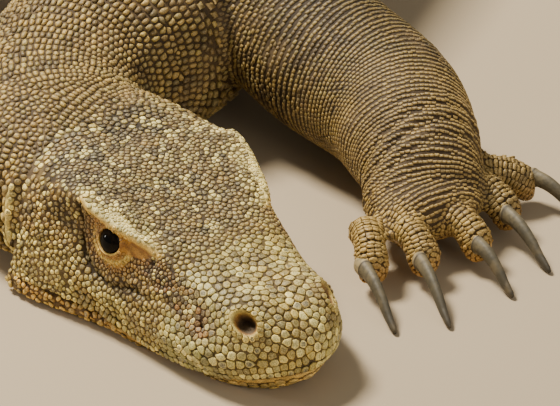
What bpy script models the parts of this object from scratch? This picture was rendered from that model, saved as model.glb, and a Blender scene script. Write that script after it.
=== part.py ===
"""Komodo dragon at rest: head flat on the ground, neck bent back, one forefoot set forward.

Metres, +Z up. The floor is z = 0, the origin lies under the middle of the animal's box.
The flesh is lofted whole from the sizes below, fused, and parted by thin cuts. Eyes and
claws are solids of their own.
"""
import math

import bmesh
import bpy
import numpy as np
from mathutils import Matrix, Vector
from mathutils.bvhtree import BVHTree

CM = 0.01
GAP = 0.0004            # clear width of every cut between two pieces of flesh
SEAT = 0.0003           # clearance of an eye or claw in its socket
FUSE_VOXEL = 0.003
BODY_TRIANGLES = 4050
FLAT_SINK = 0.25        # cm that the flesh would sink below the floor before it is cut level

# --- the head, in centimetres from the snout tip ------------------------------------------
SNOUT_TIP = Vector((1.5, -18.7, 0.0))
HEAD_TURN = math.radians(-55.0)         # way the snout points, seen from above
HEAD_LENGTH = 18.2
FORWARD = Vector((math.cos(HEAD_TURN), math.sin(HEAD_TURN), 0.0))
LEFTWARD = Vector((-FORWARD.y, FORWARD.x, 0.0))

# back from the tip: chin height, jaw half-width, mouth half-width and height, cheek
# half-width and height, hollow half-width and height, brow-edge half-width and height, crown
HEAD_SIZES = [
    (0.0, 1.65, 0.15, 0.25, 1.85, 0.30, 2.15, 0.30, 2.45, 0.25, 2.70, 2.80),
    (0.7, 0.60, 0.85, 1.75, 1.55, 2.10, 2.10, 1.95, 2.90, 1.55, 3.55, 3.80),
    (1.6, 0.05, 1.65, 2.75, 1.30, 3.05, 2.05, 2.75, 3.10, 2.25, 4.05, 4.45),
    (2.6, -0.25, 2.30, 3.35, 1.15, 3.65, 2.00, 3.20, 3.25, 2.65, 4.30, 4.75),
    (4.4, -0.25, 3.10, 3.85, 1.00, 4.15, 2.00, 3.45, 3.50, 2.75, 4.55, 4.90),
    (6.4, -0.25, 3.75, 4.20, 0.95, 4.45, 2.00, 3.75, 3.95, 3.00, 4.95, 5.25),
    (8.2, -0.25, 4.20, 4.40, 1.10, 4.65, 2.05, 4.00, 4.35, 3.45, 5.55, 5.75),
    (10.0, -0.25, 4.60, 4.65, 1.35, 4.90, 2.20, 4.15, 4.50, 4.10, 6.10, 6.20),
    (11.7, -0.25, 4.95, 5.00, 1.30, 5.20, 2.35, 4.30, 4.70, 4.62, 6.55, 6.65),
    (13.2, -0.25, 5.45, 5.50, 1.15, 5.60, 2.50, 4.75, 4.80, 4.92, 6.80, 7.00),
    (15.4, -0.25, 6.20, 6.25, 1.10, 6.00, 2.80, 5.55, 4.80, 4.75, 6.60, 7.25),
    (18.2, -0.25, 6.25, 6.30, 1.30, 5.80, 3.10, 5.40, 4.90, 4.40, 6.60, 7.60),
]
MOUTH_CORNER = 14.3
EYE_PLACE = (10.70, 4.02, 5.00)          # back from the tip, out from the middle, up
EYE_RADIUS = 0.80

# --- the spine behind the head: x, y, half-width, half-height -----------------------------
SPINE = [
    (-11.0, -2.3, 5.5, 4.2),
    (-11.6, 0.9, 4.9, 4.3),
    (-10.8, 4.1, 4.8, 4.6),
    (-8.9, 7.0, 5.3, 5.2),
    (-7.0, 10.3, 6.2, 6.1),
    (-6.0, 15.0, 7.6, 7.4),
    (-5.6, 24.0, 9.4, 8.8),
    (-3.5, 40.0, 11.9, 9.7),
    (0.0, 56.0, 12.6, 9.7),
    (4.5, 74.0, 10.0, 8.6),
    (6.2, 90.0, 7.0, 7.0),
    (5.0, 108.0, 5.2, 5.5),
    (-2.0, 134.0, 3.8, 4.3),
    (-9.5, 158.0, 2.7, 3.3),
    (-9.5, 182.0, 1.8, 2.3),
    (-2.0, 203.0, 1.05, 1.35),
    (6.0, 217.0, 0.42, 0.5),
]
# stations on SPINE where the body is parted, counted in rows (2.5 is half-way past row 2)
SPINE_CUTS = {"neck_1": 1.2, "neck_2": 3.05, "chest": 6.9, "belly": 8.55, "pelvis": 10.1,
              "tail_1": 11.8, "tail_2": 13.0, "tail_3": 14.2}
SPINE_NODES = ["neck_1", "neck_2", "chest", "belly", "pelvis", "tail_1", "tail_2", "tail_3",
               "tail_4"]

# --- limbs: x, y, z, half-width, half-height, from inside the body outwards ---------------
ARM_LEFT = [(-5.4, 20.0, 8.6, 4.4, 5.2), (-3.0, 15.0, 8.0, 4.4, 5.0),
            (-0.8, 10.6, 6.6, 4.2, 4.6), (1.9, 6.6, 5.1, 4.0, 4.2), (5.3, 3.0, 4.1, 3.9, 3.7),
            (6.6, -0.4, 3.5, 3.5, 3.2), (7.0, -2.5, 3.0, 3.1, 2.5), (7.3, -4.1, 2.3, 3.3, 1.8)]
ARM_RIGHT = [(-6.0, 20.5, 8.6, 4.4, 5.2), (-11.0, 21.0, 8.3, 4.4, 5.0),
             (-15.6, 20.6, 7.4, 4.2, 4.6), (-20.0, 18.4, 6.0, 4.0, 4.2),
             (-22.3, 13.6, 4.7, 3.8, 3.6), (-23.3, 9.4, 3.8, 3.3, 3.0),
             (-24.0, 6.2, 3.0, 3.0, 2.4), (-24.6, 3.9, 2.2, 3.1, 1.8)]
LEG_LEFT = [(5.5, 82.0, 7.6, 5.0, 5.4), (11.0, 79.5, 8.0, 5.4, 5.6),
            (17.0, 76.0, 7.9, 4.9, 5.2), (22.6, 73.5, 7.2, 4.2, 4.6),
            (26.8, 77.6, 5.6, 3.8, 3.9), (29.4, 82.6, 4.1, 3.1, 3.1),
            (31.6, 85.8, 2.8, 2.8, 2.4), (34.6, 86.4, 2.0, 3.1, 1.8)]
LEG_RIGHT = [(5.5, 82.0, 7.6, 5.0, 5.4), (-0.5, 79.9, 8.0, 5.4, 5.6),
             (-6.6, 76.6, 7.9, 4.9, 5.2), (-12.2, 74.4, 7.2, 4.2, 4.6),
             (-16.4, 78.4, 5.6, 3.8, 3.9), (-19.0, 83.4, 4.1, 3.1, 3.1),
             (-21.2, 86.6, 2.8, 2.8, 2.4), (-24.2, 87.4, 2.0, 3.1, 1.8)]
# rows of a limb where it is parted, and the way that the root's cut faces on the plan
LIMB_CUTS = {"arm_left": (2.25, 3.6, 5.45, (0.93, -0.37)), "arm_right": (2.2, 3.5, 5.6, (-1, 0)),
             "leg_left": (2.2, 3.75, 5.6, (1, -0.3)), "leg_right": (2.35, 3.75, 5.6, (-1, 0.12))}

# digits from the inner one out: root ahead and out of the palm's middle, tip ahead and out,
# in centimetres, then the claw's length, its turn outwards in degrees and its shift inwards
FORE_DIGITS = [(0.2, -3.75, 2.95, -4.75, 4.6, -8, 0.5), (0.6, -2.1, 3.63, -2.0, 4.8, -10, 0.5),
               (0.4, 0.4, 3.62, 1.12, 3.65, 3, 0.35), (-1.53, 2.96, 1.65, 4.0, 4.45, 3, 0.45),
               (-2.2, 2.9, -0.75, 6.62, 3.85, 23, 0.0)]
HIND_DIGITS = [(1.3, -2.5, 3.9, -4.6, 2.55, -36, 0.0), (1.5, -1.2, 6.2, -2.6, 2.9, -15, 0.0),
               (1.3, 0.2, 7.8, 0.2, 2.9, 0, 0.0), (0.7, 1.4, 8.2, 3.2, 2.75, 13, 0.0),
               (-1.2, 2.2, 2.4, 5.6, 2.4, 40, 0.0)]
ROOT_CUT_REACH = {"arm": 1.85, "leg": 1.5}
DIGIT_RADIUS = 0.94
DIGIT_CUTS = (0.76, 0.74, 0.70, 0.76, 0.63)     # share of each finger left on the palm
CLAW_STEPS = 6
CLAW_SEAT = 0.60                # how far back from the digit's tip a claw starts
CLAW_RADIUS = 0.42
CLAW_TIP_RADIUS = 0.10
HAND_AHEAD = {"left": math.radians(-60.6), "right": math.radians(-108.0)}
FOOT_AHEAD = {"left": math.radians(-18.0), "right": math.radians(-160.0)}

COLOURS = {"hide": (0.26, 0.21, 0.13, 1.0), "hide_dark": (0.19, 0.16, 0.11, 1.0),
           "claw": (0.12, 0.115, 0.10, 1.0), "eye": (0.015, 0.011, 0.009, 1.0)}


# --- small tools ----------------------------------------------------------------------------
def fresh_collections():
    """Empty the scene, and return the collections for the animal and for its cutters."""
    for old in list(bpy.data.objects):
        bpy.data.objects.remove(old, do_unlink=True)
    homes = []
    for name in ("komodo_dragon", "cutters"):
        home = bpy.data.collections.new(name)
        bpy.context.scene.collection.children.link(home)
        homes.append(home)
    return homes


def make_material(name, colour, roughness):
    material = bpy.data.materials.new(name)
    material.use_nodes = True
    shader = material.node_tree.nodes["Principled BSDF"]
    shader.inputs["Base Color"].default_value = colour
    shader.inputs["Roughness"].default_value = roughness
    shader.inputs["Metallic"].default_value = 0.0
    material.diffuse_color = colour
    return material


def smooth_table(keys, values, wanted):
    """Cubic interpolation through rows of values, with slopes taken from the neighbours."""
    keys = np.asarray(keys, float)
    values = np.asarray(values, float)
    slopes = np.gradient(values, keys, axis=0)
    wanted = np.clip(np.atleast_1d(wanted), keys[0], keys[-1])
    row = np.clip(np.searchsorted(keys, wanted, side="right") - 1, 0, len(keys) - 2)
    step = (keys[row + 1] - keys[row])[:, None]
    t = ((wanted - keys[row]) / step[:, 0])[:, None]
    rise = values[row] * (2 * t**3 - 3 * t**2 + 1) + values[row + 1] * (3 * t**2 - 2 * t**3)
    lean = slopes[row] * (t**3 - 2 * t**2 + t) + slopes[row + 1] * (t**3 - t**2)
    return rise + step * lean


def loft(rings, cap_start=True, cap_end=True):
    """Skin a list of closed rings of equally many points, and close both ends."""
    mesh = bmesh.new()
    rows = [[mesh.verts.new(point) for point in ring] for ring in rings]
    count = len(rows[0])
    for near, far in zip(rows, rows[1:]):
        for i in range(count):
            j = (i + 1) % count
            mesh.faces.new((near[i], near[j], far[j], far[i]))
    if cap_start:
        mesh.faces.new(list(reversed(rows[0])))
    if cap_end:
        mesh.faces.new(rows[-1])
    bmesh.ops.recalc_face_normals(mesh, faces=mesh.faces)
    return mesh


def as_object(mesh, name, home, material=None):
    data = bpy.data.meshes.new(name)
    mesh.to_mesh(data)
    mesh.free()
    thing = bpy.data.objects.new(name, data)
    home.objects.link(thing)
    if material:
        data.materials.append(material)
    return thing


def as_cutter(thing):
    thing.hide_render = True
    thing.display_type = "WIRE"
    return thing


def apply_modifiers(thing):
    """Replace the object's mesh by what its modifiers make of it."""
    graph = bpy.context.evaluated_depsgraph_get()
    made = bpy.data.meshes.new_from_object(thing.evaluated_get(graph))
    thing.modifiers.clear()
    thing.data = made


# --- the head and trunk ---------------------------------------------------------------------
def half_section_head(size, per_span):
    """Points from under the chin round one side to the crown, as (out, up)."""
    chin, jaw, mouth, mouth_up, cheek, cheek_up, hollow, hollow_up, brow, brow_up, crown = size
    outline = [(0.0, chin), (jaw * 0.62, chin), (jaw, chin + 0.3 * (mouth_up - chin)),
               (mouth, mouth_up), (cheek, cheek_up), (hollow, hollow_up), (brow, brow_up),
               (brow * 0.52, crown), (0.0, crown)]
    steps = np.linspace(0, len(outline) - 1, (len(outline) - 1) * per_span + 1)
    return smooth_table(range(len(outline)), outline, steps)


def half_section_round(half_width, half_height, count):
    """Half of a rounded section standing on the floor, as (out, up)."""
    turn = np.linspace(-math.pi / 2, math.pi / 2, count)
    power = np.where(turn < 0, 2 / 2.6, 2 / 2.15)
    out = half_width * np.abs(np.cos(turn)) ** power
    up = half_height * np.sign(np.sin(turn)) * np.abs(np.sin(turn)) ** power
    return np.stack([out, up + half_height - FLAT_SINK], axis=1)


def close_section(half, centre, sideways):
    """Mirror a half section about the middle and set it at a centre, across a direction."""
    ring = [(out, up) for out, up in half] + [(-out, up) for out, up in half[-2:0:-1]]
    return [(centre + sideways * out + Vector((0, 0, up))) * CM for out, up in ring]


def head_rings(count, per_span):
    """Rings from the snout tip back; they crowd at the tip so that it is round."""
    back = np.array([row[0] for row in HEAD_SIZES])
    sizes = np.array([row[1:] for row in HEAD_SIZES])
    shares = np.linspace(0, 1, count)
    rings = []
    for share, size in zip(shares, smooth_table(np.sqrt(back / HEAD_LENGTH), sizes, shares)):
        centre = SNOUT_TIP - FORWARD * (HEAD_LENGTH * share * share)
        rings.append(close_section(half_section_head(size, per_span), centre, LEFTWARD))
    return rings


def spine_at(rows):
    """Centre, heading and sizes of the spine at fractional row numbers."""
    end = SNOUT_TIP - FORWARD * HEAD_LENGTH
    table = [(end.x, end.y, 6.0, 3.95)] + SPINE
    keys = range(-1, len(SPINE))
    values = smooth_table(keys, table, rows)
    ahead = smooth_table(keys, table, np.asarray(rows) + 0.02)
    behind = smooth_table(keys, table, np.asarray(rows) - 0.02)
    heading = (ahead - behind)[:, :2]
    heading /= np.linalg.norm(heading, axis=1)[:, None]
    return values, heading


def spine_rings(step, count):
    rows = np.arange(-1 + step, len(SPINE) - 1 + 1e-6, step)
    values, headings = spine_at(rows)
    rings = []
    for (x, y, wide, high), heading in zip(values, headings):
        sideways = Vector((heading[1], -heading[0], 0.0))
        half = half_section_round(wide, high, count)
        rings.append(close_section(half, Vector((x, y, 0.0)), sideways))
    return rings


# --- limbs, digits and claws ------------------------------------------------------------------
def tube_rings(rows, steps, count, level=True):
    """Rings of an elliptical tube along x, y, z rows that carry a half-width and a height."""
    keys = np.linspace(0, len(rows) - 1, steps)
    values = smooth_table(range(len(rows)), rows, keys)
    places = [Vector(v[:3]) for v in values]
    rings = []
    for i, value in enumerate(values):
        heading = places[min(i + 1, steps - 1)] - places[max(i - 1, 0)]
        if level:
            heading.z *= 0.5
        heading.normalize()
        sideways = heading.cross(Vector((0, 0, 1))).normalized()
        upward = sideways.cross(heading)
        ring = []
        for k in range(count):
            angle = 2 * math.pi * k / count
            ring.append((places[i] + sideways * (value[3] * math.cos(angle))
                         + upward * (value[4] * math.sin(angle))) * CM)
        rings.append(ring)
    return rings


def palm_end(palm, ahead):
    """Rows that round a palm off in front."""
    forward = Vector((math.cos(ahead), math.sin(ahead)))
    rows = []
    for along, up, share in ((1.0, -0.1, 0.84), (1.7, -0.25, 0.58), (2.05, -0.35, 0.22)):
        place = Vector(palm[:2]) + forward * along
        rows.append((place.x, place.y, palm[2] + up, palm[3] * share, palm[4] * share))
    return rows


def digit_line(palm, ahead, side, digit):
    """Root and tip of a digit on the ground plan, and its direction."""
    forward = Vector((math.cos(ahead), math.sin(ahead), 0.0))
    outward = Vector((-forward.y, forward.x, 0.0)) * (1 if side == "left" else -1)
    root = Vector((palm[0], palm[1], 0.0)) + forward * digit[0] + outward * digit[1]
    tip = Vector((palm[0], palm[1], 0.0)) + forward * digit[2] + outward * digit[3]
    return root, tip, (tip - root).normalized()


def digit_rows(root, tip, thick):
    """Rows of one digit: level from the palm, arched at the joint, pad on the floor."""
    rows = []
    for share, up, wide, high in ((0.0, 2.1, 1.0, 1.0), (0.3, 2.3, 0.94, 1.0),
                                  (0.58, 2.15, 0.9, 0.98), (0.82, 1.55, 1.0, 1.08),
                                  (0.95, 1.2, 0.9, 0.98), (1.02, 1.15, 0.45, 0.5)):
        place = root.lerp(tip, share)
        rows.append((place.x, place.y, up * thick, wide * thick, high * thick))
    return rows


def claw_line(tip, ahead, side, digit):
    """Where a claw starts inside its digit on the ground plan, and its direction."""
    hand = 1 if side == "left" else -1
    turn = ahead + math.radians(digit[5]) * hand
    heading = Vector((math.cos(turn), math.sin(turn), 0.0))
    inward = Vector((heading.y, -heading.x, 0.0)) * hand
    return tip - heading * CLAW_SEAT + inward * digit[6], heading


def claw_rows(start, heading, thick, length, grow=0.0, deeper=0.0):
    """Rows of one claw: out of the top of the digit's end, arching down to the floor."""
    rows = []
    rise = 1.55 * thick
    for share in np.linspace(0.0, 1.0, CLAW_STEPS):
        place = start + heading * ((length + deeper) * share - deeper)
        up = rise + 0.30 * math.sin(math.pi * min(share * 1.25, 1.0)) \
            - (rise - 0.16) * share**1.7
        wide = CLAW_RADIUS * (1 - share) ** 0.55 + CLAW_TIP_RADIUS * share + grow
        rows.append((*place.xy, up, wide * 0.82, wide * 1.12))
    return rows


def all_limbs():
    """Name, rows, palm direction, side and digits of the four limbs."""
    return [("arm", "left", ARM_LEFT, HAND_AHEAD["left"], FORE_DIGITS),
            ("arm", "right", ARM_RIGHT, HAND_AHEAD["right"], FORE_DIGITS),
            ("leg", "left", LEG_LEFT, FOOT_AHEAD["left"], HIND_DIGITS),
            ("leg", "right", LEG_RIGHT, FOOT_AHEAD["right"], HIND_DIGITS)]


def digit_thickness(kind):
    return DIGIT_RADIUS if kind == "arm" else DIGIT_RADIUS * 0.94


# --- fusing and cutting -----------------------------------------------------------------------
def flesh_mesh(home):
    """Everything of flesh as one closed, levelled mesh of few triangles."""
    whole = bmesh.new()
    pieces = [loft(head_rings(26, 3)[:-1] + spine_rings(0.25, 25))]
    for kind, side, rows, ahead, digits in all_limbs():
        pieces.append(loft(tube_rings(rows + palm_end(rows[-1], ahead), 30, 20)))
        for digit in digits:
            root, tip, _ = digit_line(rows[-1], ahead, side, digit)
            pieces.append(loft(tube_rings(digit_rows(root, tip, digit_thickness(kind)), 14, 14)))
    for piece in pieces:
        data = bpy.data.meshes.new("piece")
        piece.to_mesh(data)
        piece.free()
        whole.from_mesh(data)
        bpy.data.meshes.remove(data)
    flesh = as_object(whole, "flesh", home)
    remesh = flesh.modifiers.new("fuse", "REMESH")
    remesh.mode = "VOXEL"
    remesh.voxel_size = FUSE_VOXEL
    relax = flesh.modifiers.new("relax", "SMOOTH")
    relax.factor = 0.5
    relax.iterations = 3
    apply_modifiers(flesh)
    return flesh


def thin_out(flesh):
    """Few triangles on the trunk and tail, more on the head and hands."""
    hands = [Vector(rows[-1][:3]) * CM for kind, _, rows, _, _ in all_limbs() if kind == "arm"]
    face = (SNOUT_TIP - FORWARD * 8.5) * CM
    sparse = flesh.vertex_groups.new(name="sparse")
    for vertex in flesh.data.vertices:
        weight = 1.0
        if (vertex.co - face).length < 0.1:
            weight = 0.26
        elif min((vertex.co - hand).length for hand in hands) < 0.075:
            weight = 0.45
        sparse.add([vertex.index], weight, "REPLACE")
    thin = flesh.modifiers.new("thin_out", "DECIMATE")
    flesh.data.calc_loop_triangles()
    thin.ratio = BODY_TRIANGLES / len(flesh.data.loop_triangles)
    thin.vertex_group = "sparse"
    thin.vertex_group_factor = 1.5
    thin.use_collapse_triangulate = True
    apply_modifiers(flesh)


def level_off(flesh):
    """Cut the flesh level with the floor, so that it rests on small flats."""
    mesh = bmesh.new()
    mesh.from_mesh(flesh.data)
    geometry = mesh.verts[:] + mesh.edges[:] + mesh.faces[:]
    cut = bmesh.ops.bisect_plane(mesh, geom=geometry, plane_co=(0, 0, 0),
                                 plane_no=(0, 0, -1), clear_outer=True, dist=1e-6)
    rim = [e for e in cut["geom_cut"] if isinstance(e, bmesh.types.BMEdge)]
    bmesh.ops.holes_fill(mesh, edges=[e for e in rim if e.is_boundary], sides=0)
    bmesh.ops.triangulate(mesh, faces=[f for f in mesh.faces if len(f.verts) > 3])
    mesh.to_mesh(flesh.data)
    mesh.free()


def disc(centre, normal, radius, home, name):
    """A round thin cutter across a limb or the spine."""
    mesh = bmesh.new()
    turn = Vector(normal).to_track_quat("Z", "Y").to_matrix().to_4x4()
    place = Matrix.Translation(Vector(centre)) @ turn
    bmesh.ops.create_cone(mesh, cap_ends=True, segments=20, radius1=radius, radius2=radius,
                          depth=GAP, matrix=place)
    return as_cutter(as_object(mesh, name, home))


def mouth_cutter(home):
    """A thin sheet along the mouth line that turns down behind the corner of the mouth."""
    backs = np.linspace(-0.6, MOUTH_CORNER, 16)
    table = np.array([(row[0], row[4]) for row in HEAD_SIZES])
    heights = smooth_table(table[:, 0], table[:, 1:2], backs)[:, 0]
    line = [(back, up) for back, up in zip(backs, heights)] + [(MOUTH_CORNER, -0.8)]
    thick = GAP / CM
    outline = [(back, up + thick) for back, up in line[:-2]]
    outline += [(MOUTH_CORNER + thick, line[-2][1] + thick), (MOUTH_CORNER + thick, -0.8)]
    outline += [(back, up) for back, up in reversed(line)]
    rings = []
    for across in (-6.2, 6.2):
        rings.append([(SNOUT_TIP - FORWARD * back + LEFTWARD * across + Vector((0, 0, up))) * CM
                      for back, up in outline])
    return as_cutter(as_object(loft(rings), "mouth_cut", home))


def cut_places():
    """Centre, normal and radius of every round cut, in metres, with a name for each."""
    places = []
    neck = SNOUT_TIP - FORWARD * (HEAD_LENGTH - 0.4) + Vector((0, 0, 3.6))
    places.append(("head_end", neck, FORWARD, 7.3))
    for name, row in SPINE_CUTS.items():
        values, headings = spine_at([row])
        x, y, wide, high = values[0]
        normal = Vector((headings[0][0], headings[0][1], 0.0))
        places.append((name + "_end", Vector((x, y, high)), normal, max(wide, high) * 1.25 + 0.6))
    for kind, side, rows, ahead, digits in all_limbs():
        cuts = LIMB_CUTS[f"{kind}_{side}"]
        for number, key in enumerate(cuts[:3]):
            here, before, after = smooth_table(range(len(rows)), rows, [key, key - 0.1, key + 0.1])
            normal = Vector((after - before)[:3]).normalized()
            if number == 0:
                normal = Vector((*cuts[3], 0.0)).normalized()
            elif number == 2 and kind == "arm":
                normal = Vector((math.cos(ahead), math.sin(ahead), 0.0))
            radius = max(here[3], here[4]) * (ROOT_CUT_REACH[kind], 1.42, 1.42)[number]
            places.append((f"{kind}_{side}_cut_{number}", Vector(here[:3]), normal, radius))
        if kind == "leg":
            continue
        for number, digit in enumerate(digits, 1):
            root, tip, heading = digit_line(rows[-1], ahead, side, digit)
            centre = root.lerp(tip, DIGIT_CUTS[number - 1]) + Vector((0, 0, 1.7))
            places.append((f"finger_{side}_{number}_cut", centre, heading, 1.42))
    return [(name, centre * CM, normal, radius * CM) for name, centre, normal, radius in places]


def cut_away(thing, cutters):
    """Take every cutter out of the object, one after another."""
    for cutter in cutters:
        knife = thing.modifiers.new("cut", "BOOLEAN")
        knife.operation = "DIFFERENCE"
        knife.solver = "EXACT"
        knife.object = cutter
        apply_modifiers(thing)


def anchors():
    """A point deep inside each piece of flesh, by the name of the piece."""
    inside = {"head": SNOUT_TIP - FORWARD * 9.0 + Vector((0, 0, 3.6)),
              "lower_jaw": SNOUT_TIP - FORWARD * 8.0 + Vector((0, 0, 0.4))}
    ends = [-1.0] + list(SPINE_CUTS.values()) + [len(SPINE) - 1.0]
    for name, start, end in zip(SPINE_NODES, ends, ends[1:]):
        x, y, _, high = spine_at([(start + end) / 2])[0][0]
        inside[name] = Vector((x, y, high))
    for kind, side, rows, ahead, digits in all_limbs():
        names = ("upper_arm", "forearm", "hand") if kind == "arm" else ("thigh", "shin", "foot")
        for name, key in zip(names, (2.4, 4.7, 6.6)):
            place = smooth_table(range(len(rows)), rows, [key])[0]
            inside[f"{name}_{side}"] = Vector(place[:3])
        if kind == "arm":
            for number, digit in enumerate(digits, 1):
                root, tip, _ = digit_line(rows[-1], ahead, side, digit)
                inside[f"finger_{side}_{number}"] = root.lerp(tip, 0.86) + Vector((0, 0, 1.4))
    return {name: place * CM for name, place in inside.items()}


def part_flesh(flesh, home, materials):
    """Split the cut flesh into its loose bodies and name each by the anchor it holds."""
    mesh = bmesh.new()
    mesh.from_mesh(flesh.data)
    bmesh.ops.triangulate(mesh, faces=mesh.faces)
    mesh.verts.ensure_lookup_table()
    label = {}
    bodies = []
    for seed in mesh.verts:
        if seed in label:
            continue
        body = []
        queue = [seed]
        label[seed] = len(bodies)
        while queue:
            vertex = queue.pop()
            body.append(vertex)
            for edge in vertex.link_edges:
                other = edge.other_vert(vertex)
                if other not in label:
                    label[other] = len(bodies)
                    queue.append(other)
        bodies.append(body)
    solids = {}
    for number, body in enumerate(bodies):
        own = bmesh.new()
        copies = {vertex: own.verts.new(vertex.co) for vertex in body}
        for face in {f for vertex in body for f in vertex.link_faces}:
            own.faces.new([copies[v] for v in face.verts])
        solids[number] = own
    named = []
    trees = {number: BVHTree.FromBMesh(own) for number, own in solids.items()}
    for name, place in anchors().items():
        nearest = min(trees, key=lambda number: trees[number].find_nearest(place)[3])
        if nearest not in solids:
            raise ValueError(f"{name}: its body is already named")
        dark = name.startswith(("hand", "finger", "foot"))
        own = solids.pop(nearest)
        del trees[nearest]
        named.append(as_object(own, name, home, materials["hide_dark" if dark else "hide"]))
    if solids:
        raise ValueError(f"{len(solids)} bodies have no name")
    bpy.data.objects.remove(flesh, do_unlink=True)
    return {thing.name: thing for thing in named}


# --- eyes and claws ---------------------------------------------------------------------------
def eye_centre(side):
    back, out, up = EYE_PLACE
    return (SNOUT_TIP - FORWARD * back + LEFTWARD * (out * side) + Vector((0, 0, up))) * CM


def ball(name, centre, radius, home, material=None):
    mesh = bmesh.new()
    bmesh.ops.create_uvsphere(mesh, u_segments=12, v_segments=8, radius=radius,
                              matrix=Matrix.Translation(centre))
    return as_object(mesh, name, home, material)


def make_eyes(head, home, cutters, material):
    """Seat each eye in a round socket of the head."""
    for name, side in (("eye_left", 1), ("eye_right", -1)):
        centre = eye_centre(side)
        ball(name, centre, EYE_RADIUS * CM, home, material)
        socket = ball(name + "_socket", centre, EYE_RADIUS * CM + SEAT * 1.6, cutters)
        cut_away(head, [as_cutter(socket)])


def make_claws(solids, home, cutters, material):
    """Seat each claw in the end of its digit."""
    for kind, side, rows, ahead, digits in all_limbs():
        for number, digit in enumerate(digits, 1):
            _, tip, _ = digit_line(rows[-1], ahead, side, digit)
            start, heading = claw_line(tip, ahead, side, digit)
            holder = solids[f"finger_{side}_{number}" if kind == "arm" else f"foot_{side}"]
            thick = digit_thickness(kind)
            name = f"{'fore' if kind == 'arm' else 'hind'}_claw_{side}_{number}"
            claw = claw_rows(start, heading, thick, digit[4])
            as_object(loft(tube_rings(claw, CLAW_STEPS, 6, level=False)), name, home, material)
            socket = claw_rows(start, heading, thick, digit[4], SEAT / CM * 1.5, SEAT / CM * 2)
            hole = as_object(loft(tube_rings(socket, CLAW_STEPS, 6, level=False)), name + "_seat", cutters)
            cut_away(holder, [as_cutter(hole)])


def settle(home):
    """Move everything so that the origin lies under the middle of the animal's box."""
    points = np.array([vertex.co for thing in home.objects for vertex in thing.data.vertices])
    low, high = points.min(axis=0), points.max(axis=0)
    shift = Matrix.Translation((-(low[0] + high[0]) / 2, -(low[1] + high[1]) / 2, -low[2]))
    for thing in home.objects:
        thing.data.transform(shift)
        thing.data.shade_smooth()
        thing.data.set_sharp_from_angle(angle=math.radians(50))


def main():
    home, cutters = fresh_collections()
    materials = {name: make_material(name, colour, 0.35 if name == "eye" else 0.75)
                 for name, colour in COLOURS.items()}
    flesh = flesh_mesh(home)
    thin_out(flesh)
    level_off(flesh)
    knives = [disc(centre, normal, radius, cutters, name)
              for name, centre, normal, radius in cut_places()]
    cut_away(flesh, knives + [mouth_cutter(cutters)])
    solids = part_flesh(flesh, home, materials)
    make_eyes(solids["head"], home, cutters, materials["eye"])
    make_claws(solids, home, cutters, materials["claw"])
    settle(home)


main()
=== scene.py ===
"""Komodo dragon at rest: hide, scales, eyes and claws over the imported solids.

Sizes below are in centimetres in the animal's own draft frame, where the snout tip is near
the origin and +Y runs towards the tail. `settle` carries a finished mesh into the frame.
"""
import math

import bmesh
import bpy
import numpy as np
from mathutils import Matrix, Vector
from mathutils.bvhtree import BVHTree
from mathutils.kdtree import KDTree


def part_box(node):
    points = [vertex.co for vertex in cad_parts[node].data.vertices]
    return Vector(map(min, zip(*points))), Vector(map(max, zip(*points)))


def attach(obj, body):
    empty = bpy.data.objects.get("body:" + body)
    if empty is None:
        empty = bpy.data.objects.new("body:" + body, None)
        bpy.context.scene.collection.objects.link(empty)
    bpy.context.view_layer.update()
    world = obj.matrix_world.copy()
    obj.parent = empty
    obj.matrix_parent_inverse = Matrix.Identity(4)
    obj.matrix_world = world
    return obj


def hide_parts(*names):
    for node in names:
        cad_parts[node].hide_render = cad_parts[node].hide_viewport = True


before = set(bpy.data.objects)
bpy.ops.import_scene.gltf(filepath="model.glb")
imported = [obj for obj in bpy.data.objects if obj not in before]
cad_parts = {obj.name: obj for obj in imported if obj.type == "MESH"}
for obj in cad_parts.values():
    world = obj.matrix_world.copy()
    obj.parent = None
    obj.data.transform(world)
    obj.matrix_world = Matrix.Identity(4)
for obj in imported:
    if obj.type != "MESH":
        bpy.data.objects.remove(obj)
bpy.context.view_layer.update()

CM = 0.01
SEED = 11
COAT_DEPTH = 0.11               # how far the skin lies inside the solids
FLOOR_SKIN = 0.03               # lowest that the skin comes to the floor
FUSE_VOXEL = 0.24
SKIN_TRIANGLES = 108000         # of the fused skin before the head is made finer
HAND_REACH = 8.0                # how far the finer mesh of a hand reaches from its palm
HAND_THINNING = 0.12            # how freely the hands are thinned out, against 1 elsewhere
SCATTERED = 270000              # random points tried as roots between the rows
HOLE_SHARE = 1.16               # least radius of a hole that gets a root, in its rows' own radii
ROW_CLEARANCE = 0.72            # share of its own size that a root in a set place keeps clear
FILL_CLEARANCE = 0.84           # the same for a random root
SEED_FREEDOM, ROW_FREEDOM = 0.12, 0.35      # how far crowding may push them, against 1
RELAX_ROUNDS = 4
JITTER, LEFT_JITTER = 0.12, 0.06            # waver of the roots on either side, in their sizes
STOUTNESS = 0.16                # spread of the scales' heights
ROOT_DEPTH = 0.05               # how far a scale reaches into the skin
BAKE_PATCH = 0.003

# --- the head
SNOUT_TIP = np.array((1.5, -18.7, 0.0))
HEAD_TURN = math.radians(-55.0)
HEAD_LENGTH = 18.2
FORWARD = np.array((math.cos(HEAD_TURN), math.sin(HEAD_TURN), 0.0))
LEFTWARD = np.array((-FORWARD[1], FORWARD[0], 0.0))
UPWARD = np.array((0.0, 0.0, 1.0))

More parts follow.
